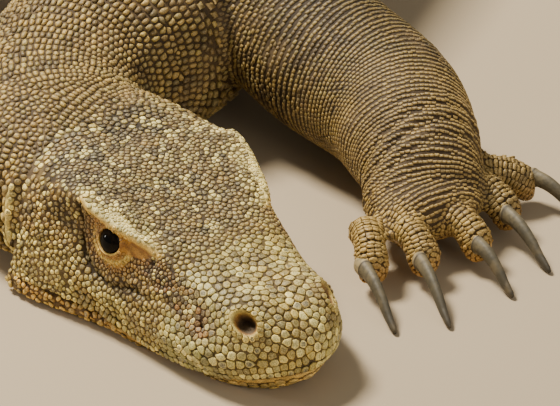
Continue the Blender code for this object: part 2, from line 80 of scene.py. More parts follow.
# back from the tip: chin height, jaw half-width, mouth half-width and height, cheek
# half-width and height, hollow half-width and height, brow-edge half-width and height, crown
HEAD_SIZES = [
    (0.0, 1.65, 0.15, 0.25, 1.85, 0.30, 2.15, 0.30, 2.45, 0.25, 2.70, 2.80),
    (0.7, 0.60, 0.85, 1.75, 1.55, 2.10, 2.10, 1.95, 2.90, 1.55, 3.55, 3.80),
    (1.6, 0.05, 1.65, 2.75, 1.30, 3.05, 2.05, 2.75, 3.10, 2.25, 4.05, 4.45),
    (2.6, -0.25, 2.30, 3.35, 1.15, 3.65, 2.00, 3.20, 3.25, 2.65, 4.30, 4.75),
    (4.4, -0.25, 3.10, 3.85, 1.00, 4.15, 2.00, 3.45, 3.50, 2.75, 4.55, 4.90),
    (6.4, -0.25, 3.75, 4.20, 0.95, 4.45, 2.00, 3.75, 3.95, 3.00, 4.95, 5.25),
    (8.2, -0.25, 4.20, 4.40, 1.10, 4.65, 2.05, 4.00, 4.35, 3.45, 5.55, 5.75),
    (10.0, -0.25, 4.60, 4.65, 1.35, 4.90, 2.20, 4.15, 4.50, 4.10, 6.10, 6.20),
    (11.7, -0.25, 4.95, 5.00, 1.30, 5.20, 2.35, 4.30, 4.70, 4.62, 6.55, 6.65),
    (13.2, -0.25, 5.45, 5.50, 1.15, 5.60, 2.50, 4.75, 4.80, 4.92, 6.80, 7.00),
    (15.4, -0.25, 6.20, 6.25, 1.10, 6.00, 2.80, 5.55, 4.80, 4.75, 6.60, 7.25),
    (18.2, -0.25, 6.25, 6.30, 1.30, 5.80, 3.10, 5.40, 4.90, 4.40, 6.60, 7.60),
]
MOUTH_CORNER = 14.3
EYE_PLACE = np.array((10.70, 4.02, 5.00))    # back from the tip, out from the middle, up
EYE_RADIUS = 0.80
LID_OPENING = (0.72, 0.60)        # half-length and half-height
GAZE = np.array((-0.16, 0.95, 0.26))        # way an eye looks, in the same three directions
NOSTRIL = np.array((2.05, 2.45, 3.98))
NOSTRIL_OPENING = (0.68, 0.50)
NOSTRIL_WAY = (-0.30, 0.66, 0.69)
BROW_LINE = [(8.0, 3.50, 5.35), (8.55, 3.56, 5.60), (9.4, 3.90, 5.80), (10.35, 4.25, 6.00),
             (11.15, 4.50, 6.13), (12.0, 4.72, 6.40), (12.5, 4.78, 6.72)]
FAR_BROW_LINE = [(8.6, 3.4, 5.6), (9.4, 3.8, 5.85), (11.2, 4.4, 6.3), (12.8, 4.8, 6.6),
                 (13.6, 4.85, 6.7)]
EYE_FOLD = [(12.7, 4.7, 6.3), (12.75, 4.7, 5.4), (12.75, 4.66, 4.5), (12.3, 4.75, 3.7),
            (11.5, 4.8, 3.12), (10.5, 4.75, 2.88), (9.4, 4.5, 3.08), (8.4, 4.3, 3.4)]
FRONT_STRIPE = [(9.3, 4.1, 4.95), (8.0, 3.85, 4.85), (6.85, 3.7, 4.3), (5.65, 3.65, 3.8), (4.3, 3.63, 3.15)]
PITS = [(8.0, 3.8, 4.88), (4.3, 3.63, 3.13), (6.1, 3.7, 4.2)]
MOUTH_LINE = [(0.0, 1.55), (0.7, 1.25), (1.6, 1.0), (2.6, 0.72), (4.4, 0.38), (6.4, 0.32), (8.2, 0.42),
              (10.0, 0.78), (11.7, 0.95), (13.2, 1.0), (15.4, 1.1)]
CHEEK_EDGE = 6.5                # half-width within which the head's own scales lie
CORNER_FOLD = [(13.9, 5.4, 1.3), (15.2, 5.8, 1.15), (16.9, 5.9, 0.8)]
EAR_FOLD = 17.45                # how far back the fold in front of the ear is
EAR_OUT = 3.5                   # half-width outside which the ear lies
SNOUT_BACK = 6.6                # how far back the piece of the snout's scales reaches
WRIST_REACH = 8.6               # how far from the palm the lower arm's own piece reaches
DIGIT_RINGS = 0.46              # distance between the rings round a digit

# --- the spine behind the head: x, y, half-width, half-height
SPINE = [
    (-11.0, -2.3, 5.5, 4.2),
    (-11.6, 0.9, 4.9, 4.3),
    (-10.8, 4.1, 4.8, 4.6),
    (-8.9, 7.0, 5.3, 5.2),
    (-7.0, 10.3, 6.2, 6.1),
    (-6.0, 15.0, 7.6, 7.4),
    (-5.6, 24.0, 9.4, 8.8),
    (-3.5, 40.0, 11.9, 9.7),
    (0.0, 56.0, 12.6, 9.7),
    (4.5, 74.0, 10.0, 8.6),
    (6.2, 90.0, 7.0, 7.0),
    (5.0, 108.0, 5.2, 5.5),
    (-2.0, 134.0, 3.8, 4.3),
    (-9.5, 158.0, 2.7, 3.3),
    (-9.5, 182.0, 1.8, 2.3),
    (-2.0, 203.0, 1.05, 1.35),
    (6.0, 217.0, 0.42, 0.5),
]
FLAT_SINK = 0.25

# --- limbs: x, y, z, half-width, half-height, from inside the body outwards
ARM_LEFT = [(-5.4, 20.0, 8.6, 4.4, 5.2), (-3.0, 15.0, 8.0, 4.4, 5.0),
            (-0.8, 10.6, 6.6, 4.2, 4.6), (1.9, 6.6, 5.1, 4.0, 4.2), (5.3, 3.0, 4.1, 3.9, 3.7),
            (6.6, -0.4, 3.5, 3.5, 3.2), (7.0, -2.5, 3.0, 3.1, 2.5), (7.3, -4.1, 2.3, 3.3, 1.8)]
ARM_RIGHT = [(-6.0, 20.5, 8.6, 4.4, 5.2), (-11.0, 21.0, 8.3, 4.4, 5.0),
             (-15.6, 20.6, 7.4, 4.2, 4.6), (-20.0, 18.4, 6.0, 4.0, 4.2),
             (-22.3, 13.6, 4.7, 3.8, 3.6), (-23.3, 9.4, 3.8, 3.3, 3.0),
             (-24.0, 6.2, 3.0, 3.0, 2.4), (-24.6, 3.9, 2.2, 3.1, 1.8)]
LEG_SIZES = [(7.6, 5.0, 5.4), (8.0, 5.4, 5.6), (7.9, 4.9, 5.2), (7.2, 4.2, 4.6),
             (5.6, 3.8, 3.9), (4.1, 3.1, 3.1), (2.8, 2.8, 2.4), (2.0, 3.1, 1.8)]
LEG_LEFT, LEG_RIGHT = (
    [(*spot, *size) for spot, size in zip(ground, LEG_SIZES)] for ground in (
        ((5.5, 82.0), (11.0, 79.5), (17.0, 76.0), (22.6, 73.5),
         (26.8, 77.6), (29.4, 82.6), (31.6, 85.8), (34.6, 86.4)),
        ((5.5, 82.0), (-0.5, 79.9), (-6.6, 76.6), (-12.2, 74.4),
         (-16.4, 78.4), (-19.0, 83.4), (-21.2, 86.6), (-24.2, 87.4))))
# digits from the inner one out: root ahead and out of the palm's middle, tip ahead and out,
# then the claw's length, its turn outwards in degrees and its shift inwards
FORE_DIGITS = [(0.2, -3.75, 2.95, -4.75, 4.6, -8, 0.5), (0.6, -2.1, 3.63, -2.0, 4.8, -10, 0.5),
               (0.4, 0.4, 3.62, 1.12, 3.65, 3, 0.35), (-1.53, 2.96, 1.65, 4.0, 4.45, 3, 0.45),
               (-2.2, 2.9, -0.75, 6.62, 3.85, 23, 0.0)]
HIND_DIGITS = [(1.3, -2.5, 3.9, -4.6, 2.55, -36, 0.0), (1.5, -1.2, 6.2, -2.6, 2.9, -15, 0.0),
               (1.3, 0.2, 7.8, 0.2, 2.9, 0, 0.0), (0.7, 1.4, 8.2, 3.2, 2.75, 13, 0.0),
               (-1.2, 2.2, 2.4, 5.6, 2.4, 40, 0.0)]
LIMBS = [("arm", "left", ARM_LEFT, math.radians(-60.6), FORE_DIGITS),
         ("arm", "right", ARM_RIGHT, math.radians(-108.0), FORE_DIGITS),
         ("leg", "left", LEG_LEFT, math.radians(-18.0), HIND_DIGITS),
         ("leg", "right", LEG_RIGHT, math.radians(-160.0), HIND_DIGITS)]
DIGIT_RADIUS = {"arm": 0.94, "leg": 0.884}
CLAW_SEAT = 0.60                # how far back from the digit's tip a claw starts
CLAW_RADIUS = 0.42
CLAW_TIP_RADIUS = 0.10


# --- curves and sections
def smooth_table(keys, values, wanted):
    """Cubic interpolation through rows of values, with slopes taken from the neighbours."""
    keys = np.asarray(keys, float)
    values = np.asarray(values, float)
    slopes = np.gradient(values, keys, axis=0)
    wanted = np.clip(np.atleast_1d(wanted), keys[0], keys[-1])
    row = np.clip(np.searchsorted(keys, wanted, side="right") - 1, 0, len(keys) - 2)
    step = (keys[row + 1] - keys[row])[:, None]
    t = ((wanted - keys[row]) / step[:, 0])[:, None]
    rise = values[row] * (2 * t**3 - 3 * t**2 + 1) + values[row + 1] * (3 * t**2 - 2 * t**3)
    lean = slopes[row] * (t**3 - 2 * t**2 + t) + slopes[row + 1] * (t**3 - t**2)
    return rise + step * lean


def unit(vectors):
    return vectors / np.maximum(np.linalg.norm(vectors, axis=-1, keepdims=True), 1e-9)


def bump(distance, width):
    """A smooth hill: 1 at distance 0, falling off over the width."""
    return np.exp(-(distance / width) ** 2)


def ease(value, low, high):
    """Smooth step from 0 at low to 1 at high."""
    t = np.clip((value - low) / (high - low), 0.0, 1.0)
    return t * t * (3 - 2 * t)


def half_section_head(size, per_span):
    """Points from under the chin round one side to the crown, as (out, up)."""
    chin, jaw, mouth, mouth_up, cheek, cheek_up, hollow, hollow_up, brow, brow_up, crown = size
    outline = [(0.0, chin), (jaw * 0.62, chin), (jaw, chin + 0.3 * (mouth_up - chin)),
               (mouth, mouth_up), (cheek, cheek_up), (hollow, hollow_up), (brow, brow_up),
               (brow * 0.52, crown), (0.0, crown)]
    steps = np.linspace(0, len(outline) - 1, (len(outline) - 1) * per_span + 1)
    return smooth_table(range(len(outline)), outline, steps)


def half_section_round(half_width, half_height, count):
    """Half of a rounded section standing on the floor, as (out, up)."""
    turn = np.linspace(-math.pi / 2, math.pi / 2, count)
    power = np.where(turn < 0, 2 / 2.6, 2 / 2.15)
    out = half_width * np.abs(np.cos(turn)) ** power
    up = half_height * np.sign(np.sin(turn)) * np.abs(np.sin(turn)) ** power
    return np.stack([out, up + half_height - FLAT_SINK], axis=1)


def close_section(half, centre, sideways):
    """Mirror a half section about the middle and set it at a centre, across a direction."""
    ring = np.concatenate([half, half[-2:0:-1] * (-1, 1)])
    return centre + ring[:, :1] * sideways + ring[:, 1:] * UPWARD


def head_rings(count, per_span):
    back = np.array([row[0] for row in HEAD_SIZES])
    sizes = np.array([row[1:] for row in HEAD_SIZES])
    shares = np.linspace(0, 1, count)
    rings = []
    for share, size in zip(shares, smooth_table(np.sqrt(back / HEAD_LENGTH), sizes, shares)):
        centre = SNOUT_TIP - FORWARD * (HEAD_LENGTH * share * share)
        rings.append(close_section(half_section_head(size, per_span), centre, LEFTWARD))
    return rings


def spine_at(rows):
    """Values of the spine's table and its heading at fractional row numbers."""
    end = SNOUT_TIP - FORWARD * HEAD_LENGTH
    table = [(end[0], end[1], 6.0, 3.95)] + SPINE
    keys = range(-1, len(SPINE))
    values = smooth_table(keys, table, rows)
    ahead = smooth_table(keys, table, np.asarray(rows) + 0.02)
    behind = smooth_table(keys, table, np.asarray(rows) - 0.02)
    return values, unit((ahead - behind)[:, :2])


def spine_rings(rows, count):
    values, headings = spine_at(rows)
    rings = []
    for (x, y, wide, high), heading in zip(values, headings):
        sideways = np.array((heading[1], -heading[0], 0.0))
        half = half_section_round(wide, high, count)
        rings.append(close_section(half, np.array((x, y, 0.0)), sideways))
    return rings


def tube_rings(rows, keys, count, level=True):
    """Rings of an elliptical tube along x, y, z rows that carry a half-width and a height."""
    values = smooth_table(range(len(rows)), rows, keys)
    heading = np.gradient(values[:, :3], axis=0)
    if level:
        heading[:, 2] *= 0.5
    heading = unit(heading)
    sideways = unit(np.cross(heading, UPWARD))
    upward = np.cross(sideways, heading)
    turn = np.linspace(0, 2 * math.pi, count, endpoint=False)[None, :, None]
    return (values[:, None, :3] + sideways[:, None] * values[:, 3, None, None] * np.cos(turn)
            + upward[:, None] * values[:, 4, None, None] * np.sin(turn))


def palm_end(palm, ahead):
    """Rows that round a palm off in front."""
    rows = []
    for along, up, share in ((1.0, -0.1, 0.84), (1.7, -0.25, 0.58), (2.05, -0.35, 0.22)):
        rows.append((palm[0] + math.cos(ahead) * along, palm[1] + math.sin(ahead) * along,
                     palm[2] + up, palm[3] * share, palm[4] * share))
    return rows


def digit_line(palm, ahead, side, digit):
    """Root and tip of a digit on the ground plan, and its direction."""
    forward = np.array((math.cos(ahead), math.sin(ahead), 0.0))
    outward = np.array((-forward[1], forward[0], 0.0)) * (1 if side == "left" else -1)
    middle = np.array((palm[0], palm[1], 0.0))
    root = middle + forward * digit[0] + outward * digit[1]
    tip = middle + forward * digit[2] + outward * digit[3]
    return root, tip, unit(tip - root)


def digit_rows(root, tip, thick):
    """Rows of one digit: level from the palm, arched at the joint, pad on the floor."""
    rows = []
    for share, up, wide, high in ((0.0, 2.1, 1.0, 1.0), (0.3, 2.3, 0.94, 1.0),
                                  (0.58, 2.15, 0.9, 0.98), (0.82, 1.55, 1.0, 1.08),
                                  (0.95, 1.2, 0.9, 0.98), (1.02, 1.15, 0.45, 0.5)):
        place = root + (tip - root) * share
        rows.append((place[0], place[1], up * thick, wide * thick, high * thick))
    return rows


def claw_line(tip, ahead, side, digit):
    """Where a claw starts inside its digit on the ground plan, and its direction."""
    hand = 1 if side == "left" else -1
    turn = ahead + math.radians(digit[5]) * hand
    heading = np.array((math.cos(turn), math.sin(turn), 0.0))
    inward = np.array((heading[1], -heading[0], 0.0)) * hand
    return tip - heading * CLAW_SEAT + inward * digit[6], heading


def claw_rows(start, heading, thick, length, steps):
    """Rows of one claw: out of the top of the digit's end, arching down to the floor."""
    rows = []
    rise = 1.55 * thick
    for share in np.linspace(0.0, 1.0, steps):
        place = start + heading * (length * share)
        up = rise + 0.30 * math.sin(math.pi * min(share * 1.25, 1.0)) \
            - (rise - 0.16) * share**1.7
        wide = CLAW_RADIUS * (1 - share) ** 0.55 + CLAW_TIP_RADIUS * share
        wide += 0.07 * bump(share - 0.14, 0.05)
        rows.append((place[0], place[1], up, wide * 0.82, wide * 1.12))
    return rows


# --- meshes
def rolled(rings):
    """A grid rolled into a closed tube through rings of equally many points."""
    rings = np.asarray(rings)
    rings = np.concatenate([rings, rings[:, :1]], axis=1)
    mesh = bmesh.new()
    bmesh.ops.create_grid(mesh, x_segments=rings.shape[1] - 1, y_segments=rings.shape[0] - 1)
    for vertex, point in zip(mesh.verts, rings.reshape(-1, 3)):
        vertex.co = point
    bmesh.ops.remove_doubles(mesh, verts=mesh.verts, dist=1e-4)
    bmesh.ops.holes_fill(mesh, edges=[e for e in mesh.edges if e.is_boundary], sides=0)
    bmesh.ops.recalc_face_normals(mesh, faces=mesh.faces)
    return mesh


def linked(name, data):
    thing = bpy.data.objects.new(name, data)
    bpy.context.scene.collection.objects.link(thing)
    return thing


def as_object(mesh, name):
    data = bpy.data.meshes.new(name)
    if isinstance(mesh, bmesh.types.BMesh):
        mesh.to_mesh(data)
        mesh.free()
    return linked(name, data)


def bake_down(thing):
    """Replace the object's mesh by what its modifiers make of it."""
    graph = bpy.context.evaluated_depsgraph_get()
    made = bpy.data.meshes.new_from_object(thing.evaluated_get(graph))
    thing.modifiers.clear()
    thing.data = made
    return thing


def triples(rows, key):
    flat = np.empty(len(rows) * 3, np.float32)
    rows.foreach_get(key, flat)
    return flat.reshape(-1, 3).astype(float)


def points_of(data):
    return triples(data.vertices, "co")


def normals_of(data):
    return triples(data.vertex_normals, "vector")


def put_points(data, points):
    data.vertices.foreach_set("co", np.ascontiguousarray(points, np.float32).ravel())
    data.update()


def put_attribute(data, name, values, kind="FLOAT"):
    layer = data.attributes.new(name, kind, "POINT")
    values = np.ascontiguousarray(values, np.float32).ravel()
    layer.data.foreach_set({"FLOAT": "value", "FLOAT_COLOR": "color"}[kind], values)


def put_colour(data, colours):
    opaque_colours = np.concatenate([colours, np.ones_like(colours[..., :1])], axis=-1)
    put_attribute(data, "hue", opaque_colours, "FLOAT_COLOR")


def draft_shift():
    """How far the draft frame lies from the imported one, from where the left eye is."""
    low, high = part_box("eye_left")
    return np.array((low + high) / 2) / CM - head_place(EYE_PLACE)


def head_place(place):
    """A point of the head, given as (back, out, up), in the draft frame."""
    place = np.asarray(place, float)
    return SNOUT_TIP - place[..., :1] * FORWARD + place[..., 1:2] * LEFTWARD + place[..., 2:] * UPWARD


def head_way(way):
    way = np.asarray(way, float)
    return -FORWARD * way[0] + LEFTWARD * way[1] + UPWARD * way[2]


def head_frame(points):
    """Back, out and up of points in the draft frame."""
    away = points - SNOUT_TIP
    return -(away @ FORWARD), away @ LEFTWARD, points[:, 2]


# --- the skin
def flesh_pieces():
    """Closed tubes for head and trunk, limbs and digits, before they are fused."""
    rows = np.arange(-0.75, len(SPINE) - 1 + 1e-6, 0.25)
    yield rolled(head_rings(34, 4)[:-1] + spine_rings(rows, 33))
    for kind, side, limb, ahead, digits in LIMBS:
        whole = limb + palm_end(limb[-1], ahead)
        yield rolled(tube_rings(whole, np.linspace(0, len(whole) - 1, 44), 28))
        for digit in digits:
            root, tip, _ = digit_line(limb[-1], ahead, side, digit)
            rows = digit_rows(root, tip, DIGIT_RADIUS[kind])
            yield rolled(tube_rings(rows, np.linspace(0, 5, 22), 20))


def flesh_weight(points):
    """How freely each point may be thinned out: not on the head, hardly on the hands."""
    back, out, _ = head_frame(points)
    palms = np.array([limb[-1][:3] for _, _, limb, _, _ in LIMBS])
    to_palm = np.linalg.norm(points[:, None] - palms, axis=2).min(axis=1)
    weight = np.where((back < 19.5) & (np.abs(out) < 8.0), 0.0, 1.0)
    return np.where(to_palm < HAND_REACH, HAND_THINNING, weight)


def fused_flesh():
    """Head, trunk, limbs and digits as one closed mesh, finest on the head."""
    whole = bmesh.new()
    for piece in flesh_pieces():
        data = bpy.data.meshes.new("piece")
        piece.to_mesh(data)
        piece.free()
        whole.from_mesh(data)
        bpy.data.meshes.remove(data)
    flesh = as_object(whole, "skin")
    fuse = flesh.modifiers.new("fuse", "REMESH")
    fuse.mode = "VOXEL"
    fuse.voxel_size = FUSE_VOXEL
    relax = flesh.modifiers.new("relax", "SMOOTH")
    relax.factor = 0.5
    relax.iterations = 6
    bake_down(flesh)
    weight = flesh_weight(points_of(flesh.data))
    sparse = flesh.vertex_groups.new(name="sparse")
    for value in np.unique(weight):
        sparse.add(np.flatnonzero(weight == value).tolist(), float(value), "REPLACE")
    thin = flesh.modifiers.new("thin", "DECIMATE")
    flesh.data.calc_loop_triangles()
    thin.ratio = SKIN_TRIANGLES / len(flesh.data.loop_triangles)
    thin.vertex_group = "sparse"
    bake_down(flesh)
    flesh.vertex_groups.clear()
    return flesh


def finer(flesh, wanted):
    """Halve the edges whose two ends the test picks."""
    mesh = bmesh.new()
    mesh.from_mesh(flesh.data)
    picked = wanted(points_of(flesh.data))
    mesh.verts.ensure_lookup_table()
    edges = [e for e in mesh.edges if picked[e.verts[0].index] and picked[e.verts[1].index]]
    bmesh.ops.subdivide_edges(mesh, edges=edges, cuts=1, use_grid_fill=True)
    bmesh.ops.triangulate(mesh, faces=[f for f in mesh.faces if len(f.verts) > 3])
    mesh.verts.ensure_lookup_table()
    picked = wanted(np.array([v.co for v in mesh.verts]))
    soft = [v for v, chosen in zip(mesh.verts, picked) if chosen]
    for _ in range(2):
        bmesh.ops.smooth_vert(mesh, verts=soft, factor=0.5, use_axis_x=True, use_axis_y=True,
                              use_axis_z=True)
    mesh.to_mesh(flesh.data)
    mesh.free()


def mouth_height(back):
    table = np.array(MOUTH_LINE)
    return smooth_table(table[:, 0], table[:, 1:2], np.ravel(back))[:, 0]


def to_line(local, line):
    """Distance of points from a line through a few places, and the share along it."""
    line = np.asarray(line, float)
    best = np.full(len(local), 1e9)
    share = np.zeros(len(local))
    for number, (start, end) in enumerate(zip(line, line[1:])):
        way = end - start
        t = np.clip(((local - start) @ way) / (way @ way), 0, 1)
        gap = np.linalg.norm(local - start - t[:, None] * way, axis=1)
        nearer = gap < best
        best = np.where(nearer, gap, best)
        share = np.where(nearer, (number + t) / (len(line) - 1), share)
    return best, share


def opening_axes(way):
    """Unit vectors of an opening: out of it, along it and across it."""
    way = unit(np.asarray(way, float))
    first = unit(np.array((1.0, 0.0, 0.0)) - way * way[0])
    return way, first, np.cross(way, first)


def opening(local, centre, way, long, tall):
    """Height over an opening's middle, distance from its axis, and the share of its rim."""
    way, first, second = opening_axes(way)
    away = local - centre
    x, y = away @ first, away @ second
    return away @ way, np.hypot(x, y), np.hypot(x / long, y / tall)


def eye_opening(local):
    return opening(local, EYE_PLACE, GAZE, *LID_OPENING)


def nostril_opening(local):
    return opening(local, NOSTRIL, NOSTRIL_WAY, *NOSTRIL_OPENING)


def to_brow(points, local):
    """Distance from the brow's ridge of either side, and the share along it."""
    near, share = to_line(local, BROW_LINE)
    far, far_share = to_line(local, FAR_BROW_LINE)
    left = head_frame(points)[1] > 0
    return np.where(left, far, near), np.where(left, far_share, share)


def over_brow(points, local):
    """How far up from the brow's ridge of its own side a place is."""
    back, _, up = local.T
    near, far = (np.interp(back, *np.array(line).T[[0, 2]]) for line in (BROW_LINE, FAR_BROW_LINE))
    return up - np.where(head_frame(points)[1] > 0, far, near)


def ear_flap(local):
    """How much a place belongs to the smooth fold in front of the ear."""
    back, side, up = local.T
    return bump(back - EAR_FOLD, 0.26) * ease(up, 0.9, 1.7) * ease(-up, -5.6, -4.9) \
        * (side > EAR_OUT) * (side < CHEEK_EDGE)


def half_head(points):
    """Head places folded onto one side, for features that both sides have."""
    back, out, up = head_frame(points)
    return np.stack([back, np.abs(out), up], axis=1)


def apart(points, place, spans=1.0):
    """Distance of points from a place, with each direction measured in its own span."""
    return np.linalg.norm((points - place) / spans, axis=1)


def over_lip(local):
    return local[:, 2] - mouth_height(local[:, 0])


def eye_turn(local):
    """Which way round the eye's middle a place lies."""
    return np.arctan2(local[:, 2] - EYE_PLACE[2], local[:, 0] - EYE_PLACE[0])


def brow_relief(points, local):
    """Heights of the brow ridges, the folds round the eyes and the pits, one by one."""
    left = head_frame(points)[1] > 0
    ridge, share = to_brow(points, local)
    yield 0.26 * ease(share, -0.12, 0.28) * bump(ridge, 0.29)
    brow = np.array(BROW_LINE)
    inner_fold = (np.array(EYE_FOLD) - EYE_PLACE) * (0.86, 1.0, 0.84) + EYE_PLACE
    for line, height, width in ((brow + (0.0, -0.4, 0.75), np.where(left, 0.0, -0.12), 0.5),
                                (brow[:-1] + (0.1, 0.05, -0.46), np.where(left, 0.0, -0.10), 0.20),
                                (EYE_FOLD, -0.30, 0.16), (inner_fold, 0.07, 0.20)):
        yield height * bump(to_line(local, line)[0], width)
    for pit in PITS:
        yield -0.26 * bump(apart(local, pit), 0.20)


def mouth_relief(local):
    """Heights of the lips, the slit between them and the fold from its corner."""
    lip = over_lip(local)
    mouth = ease(-local[:, 0], -MOUTH_CORNER - 0.6, -MOUTH_CORNER + 0.3)
    yield mouth * (0.07 * bump(lip - 0.30, 0.22) + 0.03 * bump(lip + 0.34, 0.18)
                   - 0.20 * bump(lip, 0.075))
    yield -0.14 * bump(to_line(local, CORNER_FOLD)[0], 0.16)


def snout_relief(local):
    """Heights of the swollen nostril sides and the hollows of the snout and crown."""
    back, side, up = local.T
    yield 0.13 * bump(apart(local, (2.9, 1.9, 4.8)), 0.9)
    yield -0.10 * bump(side, 0.55) * bump(back - 3.6, 1.8) * (up > 3)
    yield -0.08 * bump(side, 1.3) * bump(back - 10.5, 2.2) * (up > 4)
    yield -0.16 * bump(apart(local, (5.0, 3.6, 3.3), (1.7, 1.0, 1.0)), 0.8)


def fold_relief(local):
    """Heights of the wrinkles of snout, cheek and jaw, the ear's fold and its slit."""
    back, side, up = local.T
    loose = bump(apart(local, (8.3, 4.0, 3.1), (2.2, 1.0, 1.3)), 1.1)
    yield 0.07 * loose * np.sin(9.0 * up + 1.6 * np.sin(1.7 * back))
    cheek = bump(apart(local, (15.2, 5.4, 3.2), (2.4, 1.8, 2.4)), 1.0)
    yield 0.05 * cheek * np.sin(13.0 * (up + 0.47 * back) + 1.6 * np.sin(1.1 * back))
    jaw = ease(back, 8.5, 11.0) * ease(-up, -2.1, -1.5) * ease(up, 0.15, 0.4)
    yield 0.06 * jaw * np.sin(15.0 * (up - 0.05 * back) + 1.1 * np.sin(1.3 * back))
    ahead_of_ear = ease(up, 0.6, 1.6) * ease(-up, -6.6, -5.4) * (side > EAR_OUT)
    yield 0.26 * bump(back - EAR_FOLD, 0.34) * ahead_of_ear
    slit = np.hypot((back - 18.15) / 0.40, (up - 3.5) / 1.7)
    yield -0.60 * bump(slit, 0.85) * (side > EAR_OUT)


def nostril_relief(local):
    """Heights of the nostrils' raised rims and of their floors, deepest at the upper back."""
    back, _, up = local.T
    _, away, rim = nostril_opening(local)
    floor = 0.30 + 0.26 * ease(back - NOSTRIL[0], -0.4, 0.4) + 0.26 * ease(up - NOSTRIL[2], -0.25, 0.3)
    yield (away < 2.0) * (0.10 * bump(rim - 1.22, 0.24) - floor * ease(-rim, -1.04, -0.62))


def lid_rise(local):
    """How far the skin comes out along the gaze to lie round the eyeball as lids."""
    height, away, rim = eye_opening(local)
    lids = 0.78 * np.exp(-away ** 2.2) + 0.06 * bump(rim - 1.12, 0.09)
    lids += 0.09 * bump(rim - 1.75, 0.15) * ease(-np.sin(eye_turn(local)), -0.3, 0.3)
    wanted = np.maximum(height, lids) + 0.06 * bump(height - lids, 0.12)
    ball = np.sqrt(np.maximum(EYE_RADIUS**2 - away**2, 0.01))
    inside = np.minimum(wanted, lids + (ball - 0.30 - lids) * ease(1 - rim, 0.0, 0.12))
    wanted = np.where(rim < 1.0, inside, wanted)
    near = (away < 2.2) & (height > -1.0) & (height < 1.6)
    return np.where(near, (wanted - height) * ease(-away, -2.2, -1.5), 0.0)


def sculpt_head(points, normals):
    """Brow ridges, lids, nostrils, lips, ear slits and folds of the head."""
    local = half_head(points)
    head = ease(-local[:, 0], -20.5, -18.5) * (local[:, 1] < CHEEK_EDGE)
    push = np.zeros(len(points))
    for relief in (brow_relief(points, local), mouth_relief(local), snout_relief(local),
                   fold_relief(local), nostril_relief(local)):
        for height in relief:
            push += height
    moved = points + normals * (push * head)[:, None]
    signed = np.where(head_frame(points)[1] < 0, -1.0, 1.0)
    way = unit(np.array(GAZE))
    outward = -FORWARD * way[0] + (LEFTWARD * way[1]) * signed[:, None] + UPWARD * way[2]
    return moved + outward * lid_rise(local)[:, None]


def sculpt_limbs(points, normals):
    """Folds over the wrists and rings round the digits."""
    push = np.zeros(len(points))
    for _, side, limb, ahead, digits in LIMBS:
        away = points - np.array(limb[-1][:3])
        along = away @ np.array((math.cos(ahead), math.sin(ahead), 0.0))
        near = np.linalg.norm(away, axis=1) < 6.0
        push += near * 0.07 * bump(along + 2.0, 1.4) * np.sin(8.0 * along) * ease(points[:, 2], 1.0, 2.5)
        for digit in digits:
            root, tip, heading = digit_line(limb[-1], ahead, side, digit)
            length = np.linalg.norm(tip - root)
            local = points - root
            run = local @ heading
            across = np.linalg.norm((local - run[:, None] * heading)[:, :2], axis=1)
            on = (across < 1.1) * ease(run, 0.2, 0.8) * ease(-run, -length, -length + 0.5)
            rings = np.sin(2 * math.pi * run / DIGIT_RINGS)
            push += on * 0.035 * rings * ease(points[:, 2], 0.8, 1.6)
    return points + normals * push[:, None]


def whole_head(points):
    back, side, up = half_head(points).T
    return (back < 19.3) & (side < CHEEK_EDGE) & (up > 0.3)


def round_features(points):
    """Whether points lie close round an eye, a nostril or the slit of the mouth."""
    local = half_head(points)
    near = eye_opening(local)[1] < 1.3
    near &= apart(local, EYE_PLACE) < 1.7
    near |= apart(local, NOSTRIL) < 1.0
    return near | ((np.abs(over_lip(local)) < 0.3) & (local[:, 0] < 14.6) & (local[:, 1] < CHEEK_EDGE))


def make_skin():
    flesh = fused_flesh()
    finer(flesh, whole_head)
    finer(flesh, round_features)
    points = points_of(flesh.data) - normals_of(flesh.data) * COAT_DEPTH
    put_points(flesh.data, points)
    put_points(flesh.data, sculpt_head(points, normals_of(flesh.data)))
    points = sculpt_limbs(points_of(flesh.data), normals_of(flesh.data))
    points[:, 2] = np.maximum(points[:, 2], FLOOR_SKIN)
    put_points(flesh.data, points)
    return flesh


# --- where the scales root
class Hide:
    """The finished skin, to be asked for its nearest point and its smooth normal."""

    def __init__(self, flesh):
        flesh.data.calc_loop_triangles()
        self.points = points_of(flesh.data)
        self.normals = normals_of(flesh.data)
        corners = np.empty(len(flesh.data.loop_triangles) * 3, np.int32)
        flesh.data.loop_triangles.foreach_get("vertices", corners)
        self.triangles = corners.reshape(-1, 3)
        self.tree = BVHTree.FromPolygons(self.points.tolist(), self.triangles.tolist())

    def nearest(self, points):
        """Nearest points of the skin, their normals and how far away they are."""
        places, normals, gaps = np.empty_like(points), np.empty_like(points), np.empty(len(points))
        for number, point in enumerate(points):
            place, _, face, gap = self.tree.find_nearest(Vector(point))
            corner = self.triangles[face]
            pull = 1.0 / (np.linalg.norm(self.points[corner] - np.array(place), axis=1) + 0.01)
            places[number] = place
            normals[number] = pull @ self.normals[corner]
            gaps[number] = gap
        return places, unit(normals), gaps

    def scattered(self, count, dice, denser):
        """Random points of the skin over its area, denser where asked, with their normals."""
        a, b, c = (self.points[self.triangles[:, k]] for k in range(3))
        area = np.linalg.norm(np.cross(b - a, c - a), axis=1) * denser((a + b + c) / 3)
        face = dice.choice(len(area), count, p=area / area.sum())
        u, v = dice.random((2, count, 1))
        u, v = np.where(u + v > 1, 1 - u, u), np.where(u + v > 1, 1 - v, v)
        na, nb, nc = (self.normals[self.triangles[face, k]] for k in range(3))
        places = a[face] + u * (b[face] - a[face]) + v * (c[face] - a[face])
        return places, unit(na + u * (nb - na) + v * (nc - na))


def tree_of(points):
    tree = KDTree(len(points))
    for number, point in enumerate(points):
        tree.insert(point, number)
    tree.balance()
    return tree


